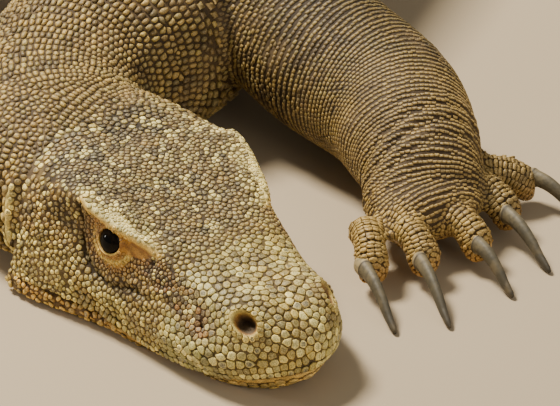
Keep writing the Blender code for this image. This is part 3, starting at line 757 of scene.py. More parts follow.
def neighbours(points, count):
    """Numbers of the nearest other points of every point."""
    tree = tree_of(points)
    near = np.empty((len(points), count), int)
    for number, point in enumerate(points):
        near[number] = [found[1] for found in tree.find_n(point, count + 1)][1:]
    return near


def thinned(points, reach):
    """Keep points in their order, each clearing the later ones within its reach."""
    tree = tree_of(points)
    keep = np.ones(len(points), bool)
    for number, point in enumerate(points):
        if keep[number]:
            for _, other, _ in tree.find_range(point, reach[number]):
                if other > number:
                    keep[other] = False
    return keep


def running(steps):
    """Running total of steps, from 0."""
    return np.concatenate([[0], np.cumsum(steps)])


def steps_of(line):
    return np.linalg.norm(np.diff(line, axis=0), axis=1)


def along_line(line, run, wanted):
    return np.stack([np.interp(wanted, run, line[:, k]) for k in range(3)], axis=1)


class Part:
    """A length of the body with its own axis: rows of scales run round it."""

    def __init__(self, name, piece, rings_at, last_key, along, around, low_around=None,
                 first_key=0.0, tolerance=0.30, stagger=0.5):
        self.name, self.piece, self.tolerance, self.stagger = name, piece, tolerance, stagger
        keys = np.linspace(first_key, last_key, 160)
        rings = np.asarray(rings_at(keys))
        self.axis = rings.mean(axis=1)
        self.length = running(steps_of(self.axis))
        self.keys, self.rings_at = keys, rings_at
        self.along, self.around, self.low_around = along, around, low_around or around
        self.heading = unit(np.gradient(self.axis, axis=0))

    def rows(self):
        """Points of the rows with the way of the body and the wanted spacings."""
        stations = [0.0]
        while stations[-1] < self.length[-1]:
            stations.append(stations[-1] + self.along(stations[-1] / self.length[-1]))
        shares = np.array(stations[:-1]) / self.length[-1]
        keys = np.interp(stations[:-1], self.length, self.keys)
        found = []
        for number, (ring, key, share) in enumerate(zip(self.rings_at(keys), keys, shares)):
            ring = np.asarray(ring)
            ring = np.concatenate([ring, ring[:1]])
            upness = unit(ring - ring[:-1].mean(axis=0))[:, 2]
            spacing = self.low_around(share) + (self.around(share) - self.low_around(share)) \
                * ease(upness, -0.6, -0.1)
            run = running(steps_of(ring) / (spacing[1:] + spacing[:-1]) * 2)
            count = max(int(round(run[-1])), 3)
            wanted = (np.arange(count) + self.stagger * (number % 2)) / count * run[-1]
            points = along_line(ring, run, wanted)
            wide = np.interp(wanted, run, spacing)
            heading = np.array([np.interp(key, self.keys, self.heading[:, k]) for k in range(3)])
            found.append((points, np.repeat(heading[None], count, 0),
                          np.full(count, self.along(share)), wide))
        return [np.concatenate(column) for column in zip(*found)]

    def unrolled(self, points):
        """Shares along and round the part's axis, for the part's own unwrap."""
        tree = tree_of(self.axis)
        nearest = np.array([tree.find(point)[1] for point in points])
        away = points - self.axis[nearest]
        run = self.length[nearest] + np.einsum("ij,ij->i", away, self.heading[nearest])
        sideways = unit(np.cross(self.heading[nearest], UPWARD))
        turn = np.arctan2(np.einsum("ij,ij->i", away, sideways), away[:, 2])
        return np.stack([np.clip(run / self.length[-1], 0, 1), turn / (2 * math.pi) + 0.5], axis=1)


def even(size, end=None):
    """A spacing that stays the same, or changes evenly to the end of the part."""
    return lambda share: size + ((end or size) - size) * share


def body_parts():
    """All parts in the order in which they may claim the skin."""
    parts = []
    for kind, side, limb, ahead, digits in LIMBS:
        fine = kind == "arm" and side == "left"
        for number, digit in enumerate(digits, 1):
            root, tip, _ = digit_line(limb[-1], ahead, side, digit)
            rows = digit_rows(root, tip, DIGIT_RADIUS[kind])
            parts.append(Part(
                f"{kind}_{side}_digit_{number}", f"scales_digits_{kind}_{side}",
                lambda keys, rows=rows: tube_rings(rows, keys, 24), 5.0,
                even(0.21 if fine else 0.30), even(0.46 if fine else 0.40), even(0.34),
                first_key=0.2 if fine else 0.6, tolerance=0.34 if fine else 0.22,
                stagger=0.0))
    for kind, side, limb, ahead, _ in LIMBS:
        whole = limb + palm_end(limb[-1], ahead)
        fine = kind == "arm" and side == "left"
        rows, beads = ((0.36, 0.25), (0.27, 0.25)) if fine else ((0.52, 0.36), (0.50, 0.38))
        parts.append(Part(f"{kind}_{side}", f"scales_{kind}_{side}",
                          lambda keys, whole=whole: tube_rings(whole, keys, 32),
                          len(whole) - 1.0, even(*rows), even(*beads), first_key=0.7))

    def trunk(keys):
        return spine_rings(keys, 25)

    for name, first, last, along, around, low in (
            ("neck", -0.95, 3.4, (0.44, 0.52), (0.30, 0.36), (0.40, 0.50)),
            ("trunk_front", 3.4, 6.4, (0.52, 0.62), (0.50, 0.60), (0.66, 0.80)),
            ("trunk_middle", 6.4, 8.0, (0.62, 0.62), (0.60, 0.60), (0.80, 0.80)),
            ("trunk_back", 8.0, 10.0, (0.62, 0.58), (0.60, 0.56), (0.80, 0.66)),
            ("tail_root", 10.0, 12.0, (0.58, 0.54), (0.56, 0.48), (0.62, 0.50)),
            ("tail_end", 12.0, 16.0, (0.54, 0.34), (0.48, 0.26), (0.50, 0.26))):
        parts.append(Part(name, f"scales_{name}", trunk, last, even(*along), even(*around),
                          even(*low), first_key=first))
    return parts


HEAD_OWNER = -1


def over_head(points):
    local = half_head(points)
    return (local[:, 0] < 17.4) & (local[:, 1] < CHEEK_EDGE)


def head_spacing(local):
    """Wanted distance between scales on the head: pebbles, beads and small granules."""
    back, _, up = local.T
    size = 0.41 - 0.13 * ease(back, 3.5, 8.0)
    size -= 0.03 * ease(up, 4.6, 5.6) * ease(back, 4.5, 7.5)
    size -= 0.07 * ease(back, 12.0, 13.5) * ease(-up, -5.8, -4.6)
    size += 0.08 * ease(back, 15.5, 17.4)
    size -= 0.10 * ease(-to_line(local, FRONT_STRIPE)[0], -1.1, -0.6)
    eye = apart(local, EYE_PLACE)
    size = np.minimum(size, 0.15 + 0.05 * ease(eye, 0.8, 1.8) + 0.4 * ease(eye, 1.6, 3.0))
    hole = nostril_opening(local)[2]
    size = np.where((hole < 2.2) & (back < 5), np.minimum(size, 0.30), size)
    size += 0.10 * ease(-up, -0.9, 0.0) * ease(back, 2.0, 6.0)
    return size


def drawn_out(points):
    """Places with the cheeks squeezed along their rows, so that scales there come out longer."""
    local = half_head(points)
    row = unit(np.array((0.90, 0.0, -0.43)))
    run = (local - (12.0, 5.0, 3.5)) @ row
    cheek = ease(local[:, 0], 11.0, 13.5) * ease(-over_brow(points, local), -0.3, 0.6)
    way = -FORWARD * row[0] + UPWARD * row[2]
    return points - (0.38 * cheek * run)[:, None] * way


def lip_seeds(rise, size, side):
    """One row of lip scales at a height over the mouth, on one side."""
    shift = 0.5 * size * (int(round(rise * 2.6)) % 2)
    backs = np.arange(0.02 + shift, MOUTH_CORNER - 0.4, 0.02)
    heights = mouth_height(backs) + rise
    sections = smooth_table([row[0] for row in HEAD_SIZES], [row[1:] for row in HEAD_SIZES], backs)
    outs = []
    for section, height in zip(sections, heights):
        outline = half_section_head(section, 3)[3:16]
        outs.append(np.interp(height, outline[:, 1], outline[:, 0]))
    line = head_place(np.stack([backs, np.array(outs) * side, heights], axis=1))
    run = running(steps_of(line))
    wanted = np.arange(shift * 0.5 + (0.5 * size if side > 0 else 0), run[-1], size)
    wanted = wanted + 0.16 * size * np.sin(37.0 * np.arange(len(wanted)))
    return along_line(line, run, wanted)


def rim_seeds(centre, way, opened, lift, ring, count):
    """Scales round an opening, on a ring that is larger than it."""
    way, first, second = opening_axes(way)
    turn = np.linspace(0, 2 * math.pi, count, endpoint=False)[:, None]
    return centre + way * lift + first * np.cos(turn) * opened[0] * ring \
        + second * np.sin(turn) * opened[1] * ring


def head_seeds():
    """Scales in set places on the head: lips, lid rims, nostril rims and brow ridges."""
    places, sizes = [], []

    def add(points, size):
        places.append(points)
        sizes.append(np.full(len(points), size))

    for rise, size in ((0.25, 0.33), (0.59, 0.36)):
        for side in (-1, 1):
            add(lip_seeds(rise, size, side), size)
    for side in (-1, 1):
        mirrored = np.array((1, side, 1))
        add(head_place(rim_seeds(EYE_PLACE, GAZE, LID_OPENING, 0.5, 1.30, 32) * mirrored), 0.15)
        add(head_place(rim_seeds(NOSTRIL, NOSTRIL_WAY, NOSTRIL_OPENING, 0.1, 1.55, 18) * mirrored), 0.25)
        brow = np.array(BROW_LINE if side < 0 else FAR_BROW_LINE) + (0.0, -0.22, 0.36)
        ridge = smooth_table(range(len(brow)), brow, np.linspace(0, len(brow) - 1, 15))
        add(head_place(ridge * mirrored), 0.36)
    return np.concatenate(places), np.concatenate(sizes)


def kept(keep, *columns):
    """The same rows of several columns."""
    return [column[keep] for column in columns]


def scatter_density(points):
    """How much denser than on the trunk the random points lie."""
    x, y, _ = points.T
    close = ((x > 0.0) & (y < 14.0)) | (y < 6.0)
    return np.where(over_head(points), 10.0, np.where(close, 6.0, np.where(y < 16.0, 3.0, 1.0)))


def row_roots(hide, parts):
    """Roots in set places on the head and in rows round every part, each with its freedom."""
    found = []

    def add(points, lie, long, wide, owner, freedom, tolerance):
        place, normal, gap = hide.nearest(points)
        keep = (gap < tolerance) & (over_head(place) == (owner == HEAD_OWNER))
        found.append(kept(keep, place, normal, lie, long, wide,
                          np.full(len(place), owner), np.full(len(place), freedom)))

    seeds, sizes = head_seeds()
    add(seeds, np.repeat(-FORWARD[None], len(seeds), 0), sizes, sizes, HEAD_OWNER, SEED_FREEDOM, 0.9)
    for owner, part in enumerate(parts):
        add(*part.rows(), owner, ROW_FREEDOM, part.tolerance)
    return [np.concatenate(column) for column in zip(*found)]


def filling_roots(hide, rows, dice):
    """Random roots all over the head and in the holes that the rows leave elsewhere."""
    place, _, lie, long, wide, owner, _ = rows
    spot, normal = hide.scattered(SCATTERED, dice, scatter_density)
    on_head = over_head(spot)
    tree = tree_of(place)
    near = np.array([tree.find(point)[1:] for point in spot])
    model, gap = near[:, 0].astype(int), near[:, 1]
    size = np.where(on_head, head_spacing(half_head(spot)), np.minimum(long, wide)[model])
    hole = (long**2 + (wide / 2) ** 2) / (2 * long) * HOLE_SHARE
    free = gap > np.where(on_head, size * 0.80, hole[model])
    spot, normal, model, size, on_head = kept(free, spot, normal, model, size, on_head)
    clear = thinned(drawn_out(spot), size * FILL_CLEARANCE)
    spot, normal, model, size, on_head = kept(clear, spot, normal, model, size, on_head)
    return (spot, normal, np.where(on_head[:, None], -FORWARD, lie[model]),
            np.where(on_head, size, long[model]), np.where(on_head, size, wide[model]),
            np.where(on_head, HEAD_OWNER, np.maximum(owner[model], 0)), np.ones(len(spot)))


def rooted(hide, parts, dice):
    """Roots of all scales: where, which way, how big, on which part and how free to move."""
    rows = row_roots(hide, parts)
    rows = kept(thinned(rows[0], np.minimum(rows[3], rows[4]) * ROW_CLEARANCE), *rows)
    return [np.concatenate(pair) for pair in zip(rows, filling_roots(hide, rows, dice))]


def eye_corner(points, local):
    """The smooth skin from an eye's front corner on under the brow."""
    away = apart(local, (9.2, 3.95, 5.15), (1.0, 1.2, 0.42))
    return (away < 1.0) & (over_brow(points, local) < 0.0)


def open_skin(points):
    """Where no scale may root: lids, nostrils, mouth slit, brow ridges and smooth folds."""
    local = half_head(points)
    back, side, _ = local.T
    blocked = (eye_opening(local)[2] < 1.06) & (apart(local, EYE_PLACE) < 1.5)
    blocked |= (nostril_opening(local)[2] < 1.24) & (apart(local, NOSTRIL) < 1.5)
    ridge, share = to_brow(points, local)
    blocked |= ridge < np.where(over_brow(points, local) > 0.0, 0.12, 0.20) * ease(share, -0.1, 0.2)
    blocked |= ear_flap(local) > 0.55
    blocked |= to_line(local, EYE_FOLD)[0] < 0.13
    blocked |= eye_corner(points, local)
    lip = over_lip(local)
    mouth = (np.abs(lip) < 0.10) | ((lip < 0.10) & (lip > -0.30) & (back < 10.0))
    return blocked | (mouth & (back < MOUTH_CORNER) & (side < CHEEK_EDGE))


def bare_rise(points):
    """How light the skin itself is: in painted shade between scales, pale on the lids and brow ridges."""
    local = half_head(points)
    lip, hole = over_lip(local), nostril_opening(local)[2]
    lower = (lip < -0.06) & (lip > -0.33) & (local[:, 0] < 10.5) & (local[:, 1] < CHEEK_EDGE)
    rise = np.where(lower, 0.6, 0.05)
    for where, lightness in (
            (eye_corner(points, local), 0.55),
            ((eye_opening(local)[2] > 0.9) & (apart(local, EYE_PLACE) < 1.4), 0.7),
            # inside the nostrils the skin lies low on the ramp: painted shade, lighter towards the rim
            ((hole < 1.4) & (apart(local, NOSTRIL) < 1.5), 0.30 + 0.4 * ease(hole, 0.80, 1.05)),
            (ear_flap(local) > 0.4, 0.75),
            (to_brow(points, local)[0] < 0.29, 0.85)):
        rise = np.where(where, lightness, rise)
    return rise


def relaxed(hide, place, normal, size, freedom, rounds):
    """Let crowded roots push each other apart along the skin."""
    for _ in range(rounds):
        near = neighbours(place, 7)
        away = place[:, None] - place[near]
        gap = np.linalg.norm(away, axis=2, keepdims=True)
        shove = np.maximum(1.0 - gap / size[:, None, None], 0.0) * away / np.maximum(gap, 1e-6)
        step = shove.sum(axis=1) * (0.30 * size * freedom)[:, None]
        step -= np.einsum("ij,ij->i", step, normal)[:, None] * normal
        place, normal, _ = hide.nearest(place + step)
    return place, normal


# --- scales
def cell_reach(place, normal, lie, sides, long, wide, limit):
    """How far each root's own cell runs, in directions spread to suit the scale's proportions."""
    first = unit(lie - np.einsum("ij,ij->i", lie, normal)[:, None] * normal)
    second = np.cross(normal, first)
    near = neighbours(place, 16)
    away = place[near] - place[:, None]
    gap = np.linalg.norm(away, axis=2)
    x = np.einsum("ikj,ij->ik", away, first)
    y = np.einsum("ikj,ij->ik", away, second)
    flat = np.maximum(np.hypot(x, y), 1e-6)
    x, y = x / flat, y / flat
    turns = np.arange(sides) * 2 * math.pi / sides
    aim = unit(np.stack([long[:, None] * np.cos(turns), wide[:, None] * np.sin(turns)], axis=2))
    reach = np.empty((len(place), sides))
    for number in range(sides):
        facing = x * aim[:, number, :1] + y * aim[:, number, 1:]
        bound = np.where(facing > 0.05, gap / 2 / np.maximum(facing, 0.05), 1e9).min(axis=1)
        reach[:, number] = np.minimum(bound, limit)
    return reach, aim, first, second


# rings of one scale from its root to its top, as (share of the width, share of the height)
PEBBLE = [(1.0, 0.0), (0.93, 0.50), (0.72, 0.86), (0.34, 1.0)]
PLATE = [(1.0, 0.0), (0.95, 0.60), (0.80, 0.90), (0.45, 1.0)]
BEAD = [(1.0, 0.0), (0.84, 0.60), (0.48, 1.0)]
SLAB = [(1.0, 0.0), (0.94, 0.70), (0.76, 1.0)]
PLAIN = [(1.0, 0.0), (0.68, 0.95)]


def scale_shape(sides, profile):
    """One closed scale of unit size, whose heights count its rings."""
    mesh = bmesh.new()
    bmesh.ops.create_circle(mesh, cap_ends=True, segments=sides, radius=profile[0][0])
    mesh.faces.ensure_lookup_table()
    top = mesh.faces[0]
    if top.normal.z < 0:
        top.normal_flip()
    below = bmesh.ops.duplicate(mesh, geom=[top])["geom"]
    for _ in profile[1:]:
        top = bmesh.ops.extrude_discrete_faces(mesh, faces=[top])["faces"][0]
        bmesh.ops.translate(mesh, verts=top.verts, vec=(0, 0, 1))
    bmesh.ops.reverse_faces(mesh, faces=[g for g in below if isinstance(g, bmesh.types.BMFace)])
    bmesh.ops.remove_doubles(mesh, verts=mesh.verts, dist=1e-4)
    return mesh


def put_unwrap(data, places):
    """Lay the baked map out: each scale as a tiny patch of its own at its root's place."""
    layer = data.uv_layers.new(name="OFBake")
    layer.uv.foreach_set("vector", np.ascontiguousarray(places, np.float32).ravel())


def scale_piece(name, sides, profile, lean, broad, roots):
    """All scales of one piece: copies of one shape, each fitted to its own cell of skin."""
    count = len(roots["place"])
    piece = as_object(scale_shape(sides, profile), name)
    shape = points_of(piece.data)
    copies = piece.modifiers.new("copies", "ARRAY")
    copies.use_relative_offset = False
    copies.count = count
    bake_down(piece)
    ring = np.rint(shape[:, 2]).astype(int)
    turn = np.arctan2(shape[:, 1], shape[:, 0])
    side = np.rint(turn / (2 * math.pi) * sides).astype(int) % sides
    width, height = np.array(profile)[ring].T
    first, second, high = (roots[key][:, None] for key in ("first", "second", "high"))
    aim = roots["aim"][:, side]
    reach = roots["reach"][:, side] * (width + (1 - width) * (broad * np.abs(aim[..., 1])))
    reach = reach[..., None]
    flat = first * reach * aim[..., :1] + second * reach * aim[..., 1:]
    tilt = lean * height * (1 + 0.9 * width * aim[..., 0])
    rise = high * (height + tilt) - ROOT_DEPTH * (height == 0)
    points = roots["place"][:, None] + flat + roots["normal"][:, None] * rise[..., None]
    points += first * (high * tilt * 0.8)[..., None]
    points[..., 2] = np.maximum(points[..., 2], 0.0)
    put_points(piece.data, points.reshape(-1, 3))
    put_attribute(piece.data, "rise", np.repeat(height[None], count, 0))
    put_colour(piece.data, np.repeat(roots["hue"][:, None], len(shape), 1))
    put_attribute(piece.data, "lot", np.repeat(roots["lot"][:, None], len(shape), 1))
    corner = np.empty(len(piece.data.loops), np.int32)
    piece.data.loops.foreach_get("vertex_index", corner)
    patch = BAKE_PATCH * 0.5 * shape[corner % len(shape), :2]
    put_unwrap(piece.data, roots["unwrap"][corner // len(shape)] + patch)
    return piece


# --- markings, the same on the skin and on the scales
CREAM = np.array((0.86, 0.75, 0.38))
STRAW = np.array((0.62, 0.47, 0.15))
MOSS = np.array((0.40, 0.37, 0.13))
AMBER = np.array((0.60, 0.31, 0.07))
RUST = np.array((0.25, 0.11, 0.025))
SAND = np.array((0.46, 0.31, 0.11))
OLIVE = np.array((0.27, 0.20, 0.08))
SLATE = np.array((0.15, 0.145, 0.115))
UMBER = np.array((0.06, 0.036, 0.013))
GOLD = np.array((0.74, 0.52, 0.17))


def ripple(points, size, seed):
    """A smooth random field of about unit spread, with hills of the given size."""
    dice = np.random.default_rng(seed)
    ways = unit(dice.normal(size=(12, 3))) * dice.uniform(0.6, 1.5, (12, 1)) * 2 * math.pi / size
    phase = dice.uniform(0, 2 * math.pi, 12)
    return np.sin(points @ ways.T + phase).sum(axis=1) / math.sqrt(6)


def blend(first, second, share):
    return first + (second - first) * np.clip(share, 0, 1)[:, None]


def washed(base, *layers):
    """A colour with others laid over it in turn, each given as (colour, share)."""
    for colour, share in layers:
        base = blend(base, colour, share)
    return base


def face_regions(local, over):
    """Shares of the snout, the crown, the cheeks and the sides below the brows."""
    back = local[:, 0]
    return (ease(-back, -8.5, -5.5), ease(over, -0.3, 0.3) * ease(back, 5.0, 7.5),
            ease(back, 11.5, 13.5) * ease(-over, -0.6, 0.2), ease(-over, 0.0, 0.35))


def body_hue(points, local, fields):
    """Colour of neck, trunk, limbs and tail."""
    tone, wide, fine, blot = fields
    neck = ease(-points[:, 1], -16.0, -6.0) * (local[:, 1] < 14) * ease(-local[:, 0], -34, -26)
    tail = ease(points[:, 1], 95.0, 130.0)
    return washed(
        OLIVE,
        (SAND, 0.45 + 0.22 * fine + 0.15 * wide),
        (SAND * 0.88, neck * (0.55 + 0.2 * fine)),
        (UMBER * 1.6, 0.6 * neck * ease(fine - 0.7 * tone + 0.4 * blot, 0.6, 1.3)),
        (STRAW, 0.6 * neck * ease(tone + 0.5 * blot, 0.7, 1.3)),
        (UMBER, 0.55 * ease(fine + wide + 0.5 * tone, 0.6, 1.9)),
        (SLATE, 0.35 * ease(tone, 0.55, 0.9)),
        (SAND, 0.5 * ease(-points[:, 2], -3.0, -0.6)),
        (SLATE, 0.35 * tail * ease(np.sin(points[:, 1] / 4.6), -0.3, 0.6)))


def face_hue(local, over, lot, fields):
    """Colour of snout, lips, crown, cheeks and the dark stripe ahead of each eye."""
    tone, wide, fine, blot = fields
    snout, crown, cheek, below = face_regions(local, over)
    up = local[:, 2]
    lips = ease(-over_lip(local), -2.2, -1.2) * ease(-local[:, 0], -15.0, -12.0)
    stripe = below * ease(-to_line(local, FRONT_STRIPE)[0], -1.05, -0.45)
    return washed(
        SAND,
        (OLIVE, 0.45 + 0.35 * fine),
        (STRAW, 0.85 * snout),
        (CREAM, snout * ease(fine + 0.9 * tone, -0.4, 1.2)),
        (MOSS, snout * (0.30 + 0.25 * wide)),
        (OLIVE, 0.75 * snout * ease(-tone - 0.6 * fine, 0.5, 1.1)),
        (MOSS, lips * (0.40 + 0.3 * wide)),
        (CREAM, lips * ease(fine + tone, -0.3, 1.0) * 0.9),
        (UMBER, crown * (0.15 + 0.65 * ease(wide + 0.8 * fine, -0.6, 0.9))),
        (SLATE, crown * 0.5 * ease(blot, 0.2, 1.2)),
        (STRAW, crown * ease(tone + 0.5 * fine - 0.4 * blot, 0.5, 1.1) * 0.75),
        (CREAM, crown * ease(tone + 0.5 * fine - 0.5 * blot, 0.9, 1.4)),
        (UMBER, 0.6 * crown * ease(-tone, 0.5, 0.9)),
        (SLATE, ease(lot - 0.5 * fine, 0.9, 1.4) * 0.55),
        (UMBER, cheek * 0.48 * ease(fine + 0.5 * (up - 4.6), -0.2, 1.0)),
        (MOSS, 0.40 * cheek * ease(-up, -4.2, -3.0)),
        (CREAM, 0.8 * cheek * ease(tone + 0.6 * blot, 0.2, 1.0)),
        (RUST, stripe * (0.85 + 0.2 * fine)),
        (UMBER, 0.92 * stripe * ease(0.6 * blot - tone, -0.1, 0.6)),
        (CREAM, 0.9 * stripe * ease(tone + 0.7 * blot, 0.7, 1.2)))


def eye_hue(face, points, local, over, fields):
    """The face with the colours round the eyes, painted shade in the fold behind each eye and in the pits,
    and the colours on the brows over it.
    """
    tone, _, fine, blot = fields
    below = face_regions(local, over)[3]
    small = ripple(points, 0.5, 4)
    eye = apart(local, EYE_PLACE, (1.35, 1.0, 1.0))
    near, rim = eye < 2.0, eye_opening(local)[2]
    low = ease(-np.sin(eye_turn(local)), -0.5, 0.4)
    corner = eye_corner(points, local)
    ridge = to_brow(points, local)[0]
    return washed(
        face,
        ((RUST + SAND) * 0.5, 0.85 * below * ease(-eye, -2.0, -1.4)),
        (RUST, 0.6 * below * ease(-eye, -1.9, -1.3) * ease(blot, -0.2, 0.9)),
        (AMBER, 0.55 * below * ease(-eye, -1.6, -1.1) * ease(fine + tone, -0.2, 1.0)),
        (STRAW * 1.2, near * low * 0.9 * bump(rim - 1.74, 0.24)),
        (AMBER * 0.7, 0.75 * near * ease(-rim, -1.7, -1.3)),
        (RUST, 0.55 * near * ease(-rim, -1.9, -1.3) * ease(small, 0.1, 1.2)),
        (CREAM * (1.0, 0.88, 0.66), near * bump(rim - 1.06, 0.07) * (0.1 + 0.8 * low)),
        (AMBER * 0.75, 0.85 * corner),
        (RUST, 0.8 * corner * ease(small, -0.2, 0.9)),
        # painted shade in the crease behind and below each eye and in the pits ahead of it
        (UMBER, 0.92 * ease(-to_line(local, EYE_FOLD)[0], -0.36, -0.14) * (over < 0)),
        *((UMBER * 0.5, ease(-apart(local, pit), -0.34, -0.16)) for pit in PITS),
        (CREAM, 0.9 * (over > 0) * ease(-ridge, -1.3, -0.6) * ease(tone + 0.6, -0.3, 0.6)),
        (GOLD, 0.95 * ease(-ridge, -0.38, -0.24) * ease(-over, -0.2, 0.05)),
        (CREAM, 0.85 * ease(-ridge, -0.30, -0.20) * ease(over, -0.05, 0.15)))


def edge_hue(face, local, tone):
    """The face with the colours of nostrils, mouth slit, chin and ear folds over it, with painted shade
    deep in the nostrils and along the mouth slit.
    """
    back, _, up = local.T
    lip, hole = over_lip(local), nostril_opening(local)[2]
    close = apart(local, NOSTRIL) < 1.6
    return washed(
        face,
        (STRAW, close * 0.7 * bump(hole - 1.25, 0.28)),
        # rust lining of the nostrils, then painted shade in umber deep inside them
        (RUST * 1.3, close * 0.9 * ease(-hole, -1.02, -0.88)),
        (UMBER, close * ease(-hole, -0.9, -0.7)),
        (AMBER, 0.75 * ease(-lip, -0.12, 0.1) * ease(-back, -18.0, -15.0) * (0.75 + 0.25 * tone)),
        ((AMBER + CREAM) * 0.5, 0.7 * ease(-back, -6.0, -4.0) * ease(-lip, 0.02, 0.12)),
        # painted shade: a dark rust line along the slit between the lips
        (RUST, 0.9 * bump(lip, 0.08) * ease(-back, -14.0, -12.0)),
        (STRAW, 0.65 * ease(-lip, 0.3, 0.6) * ease(-up, -0.9, 0.1)),
        (CREAM * 0.8, 0.85 * ear_flap(local)))


def hide_hue(points, lot):
    """Colour of the hide at points of the draft frame; the lot sets one scale off the next."""
    local = half_head(points)
    back, side, up = local.T
    over = over_brow(points, local)
    tone = np.sin(lot * 57.0)
    wide, fine, blot = ripple(points, 6.0, 1), ripple(points, 1.6, 2), ripple(points, 0.8, 3)
    fields = tone, wide, fine, blot
    snout, _, cheek, below = face_regions(local, over)
    face = eye_hue(face_hue(local, over, lot, fields), points, local, over, fields)
    face = edge_hue(face, local, tone)
    face = face * (1 + (below * ease(back, 5.0, 8.0))[:, None] * (0.05, 0.0, -0.2))
    top = ease(up, 3.6, 4.6)
    face = blend(face, OLIVE, snout * top * (0.16 + 0.5 * ease(0.8 * blot - tone, 0.7, 1.2)))
    # painted shade on the snout's top and painted light on its lower sides, against the key light from
    # above; the cheeks are lightened too
    face = face * (1 + snout * (0.10 - 0.20 * top) + 0.22 * cheek)[:, None]
    head = ease(-back, -19.0, -17.0) * (side < CHEEK_EDGE)
    hue = blend(body_hue(points, local, fields), face, head)

    for _, _, limb, _, _ in LIMBS:
        paw = ease(-apart(points, np.array(limb[-1][:3])), -9.0, -6.0)
        hue = washed(hue, (SAND, paw * 0.5),
                     (AMBER * 0.80, paw * ease(-points[:, 2], -2.0, -0.8) * 0.75))
    arm = ease(points[:, 0], -3.0, 0.0) * ease(-points[:, 1], -20.0, -15.0)
    upper = arm * ease(points[:, 1], 1.0, 9.0)
    hand = ease(-points[:, 1], 3.0, 6.5)
    hue = hue * (1.03, 1.0, 0.74) * (1 + arm[:, None] * (0.03, 0.0, -0.12))
    lots = (0.18 + 0.16 * head - 0.08 * arm) * np.clip(lot, -2.2, 2.0)
    return hue * ((1 - (0.31 - 0.36 * hand) * arm - 0.38 * upper) * np.exp(lots))[:, None]


# --- materials
class Value:
    """A number that varies over a surface; sums, differences and products add Math nodes."""

    def __init__(self, paint, socket):
        self.paint, self.socket = paint, socket

    def math(self, operation, *others):
        inputs = dict(enumerate((self,) + others))
        return self.paint.node("ShaderNodeMath", {"operation": operation}, inputs)

    def __add__(self, other):
        return self.math("ADD", other)

    def __mul__(self, other):
        return self.math("MULTIPLY", other)

    def __rsub__(self, other):
        return self.paint.node("ShaderNodeMath", {"operation": "SUBTRACT"}, {0: other, 1: self})

    __radd__ = __add__


def opaque(colour):
    return colour if isinstance(colour, Value) else (*colour, 1.0)


class Paint:
    """One material and the nodes that make it."""

    def __init__(self, name):
        self.material = bpy.data.materials.new(name)
        self.material.use_nodes = True
        self.tree = self.material.node_tree
        self.shader = self.tree.nodes["Principled BSDF"]
        self.places = self.node("ShaderNodeTexCoord", {}, {}, "Object")

    def node(self, kind, settings, inputs, output=0):
        made = self.tree.nodes.new(kind)
        for name, value in settings.items():
            setattr(made, name, value)
        for key, value in inputs.items():
            self.feed(made.inputs[key], value)
        return Value(self, made.outputs[output])

    def feed(self, socket, value):
        if isinstance(value, Value):
            self.tree.links.new(value.socket, socket)
        else:
            socket.default_value = value

    def attribute(self, name, output="Fac"):
        return self.node("ShaderNodeAttribute", {"attribute_name": name}, {}, output)

    def noise(self, scale, detail=3.0):
        inputs = {"Vector": self.places, "Scale": scale, "Detail": detail}
        return self.node("ShaderNodeTexNoise", {}, inputs, "Fac")

    def ramp(self, value, low, high, start=0.0, end=1.0):
        return self.node("ShaderNodeMapRange", {"interpolation_type": "SMOOTHSTEP"},
                         {"Value": value, "From Min": low, "From Max": high,
                          "To Min": start, "To Max": end})

    def mix(self, share, first, second, way="MIX"):
        return self.node("ShaderNodeMix", {"data_type": "RGBA", "blend_type": way},
                         {0: share, 6: opaque(first), 7: opaque(second)}, 2)

    def tinted(self, colour, tint):
        return self.mix(1.0, colour, tint, "MULTIPLY")

    def finish(self, **sockets):
        for name, value in sockets.items():
            self.feed(self.shader.inputs[name.replace("_", " ").title()], value)
        return self.material

    def bumped(self, height, distance, strength=1.0):
        return self.node("ShaderNodeBump", {}, {"Strength": strength, "Distance": distance,
                                                "Height": height}, "Normal")


# name: how high on a scale the painted shade of its groove ends and its crest starts, wear and
# painted highlight of the crests, colour of the painted shade in the grooves, and how strongly
# the middles of the scales are darker
HIDES = {"hide_head": (0.02, 0.75, 0.45, (0.10, 0.07, 0.04), 0.55),
         "hide_body": (0.02, 0.65, 0.15, (0.48, 0.40, 0.32), 0.0),
         "hide_hands": (0.02, 0.65, 0.3, (0.22, 0.17, 0.13), 0.0)}
GRIME = (0.085, 0.055, 0.03)
DARK_MIDDLE = (0.085, 0.09, 0.085)
COOL_TINT = (0.62, 0.74, 0.80)
WORN_AND_HIGHLIGHT = (0.82, 0.72, 0.44)
DUST = (0.42, 0.29, 0.15)


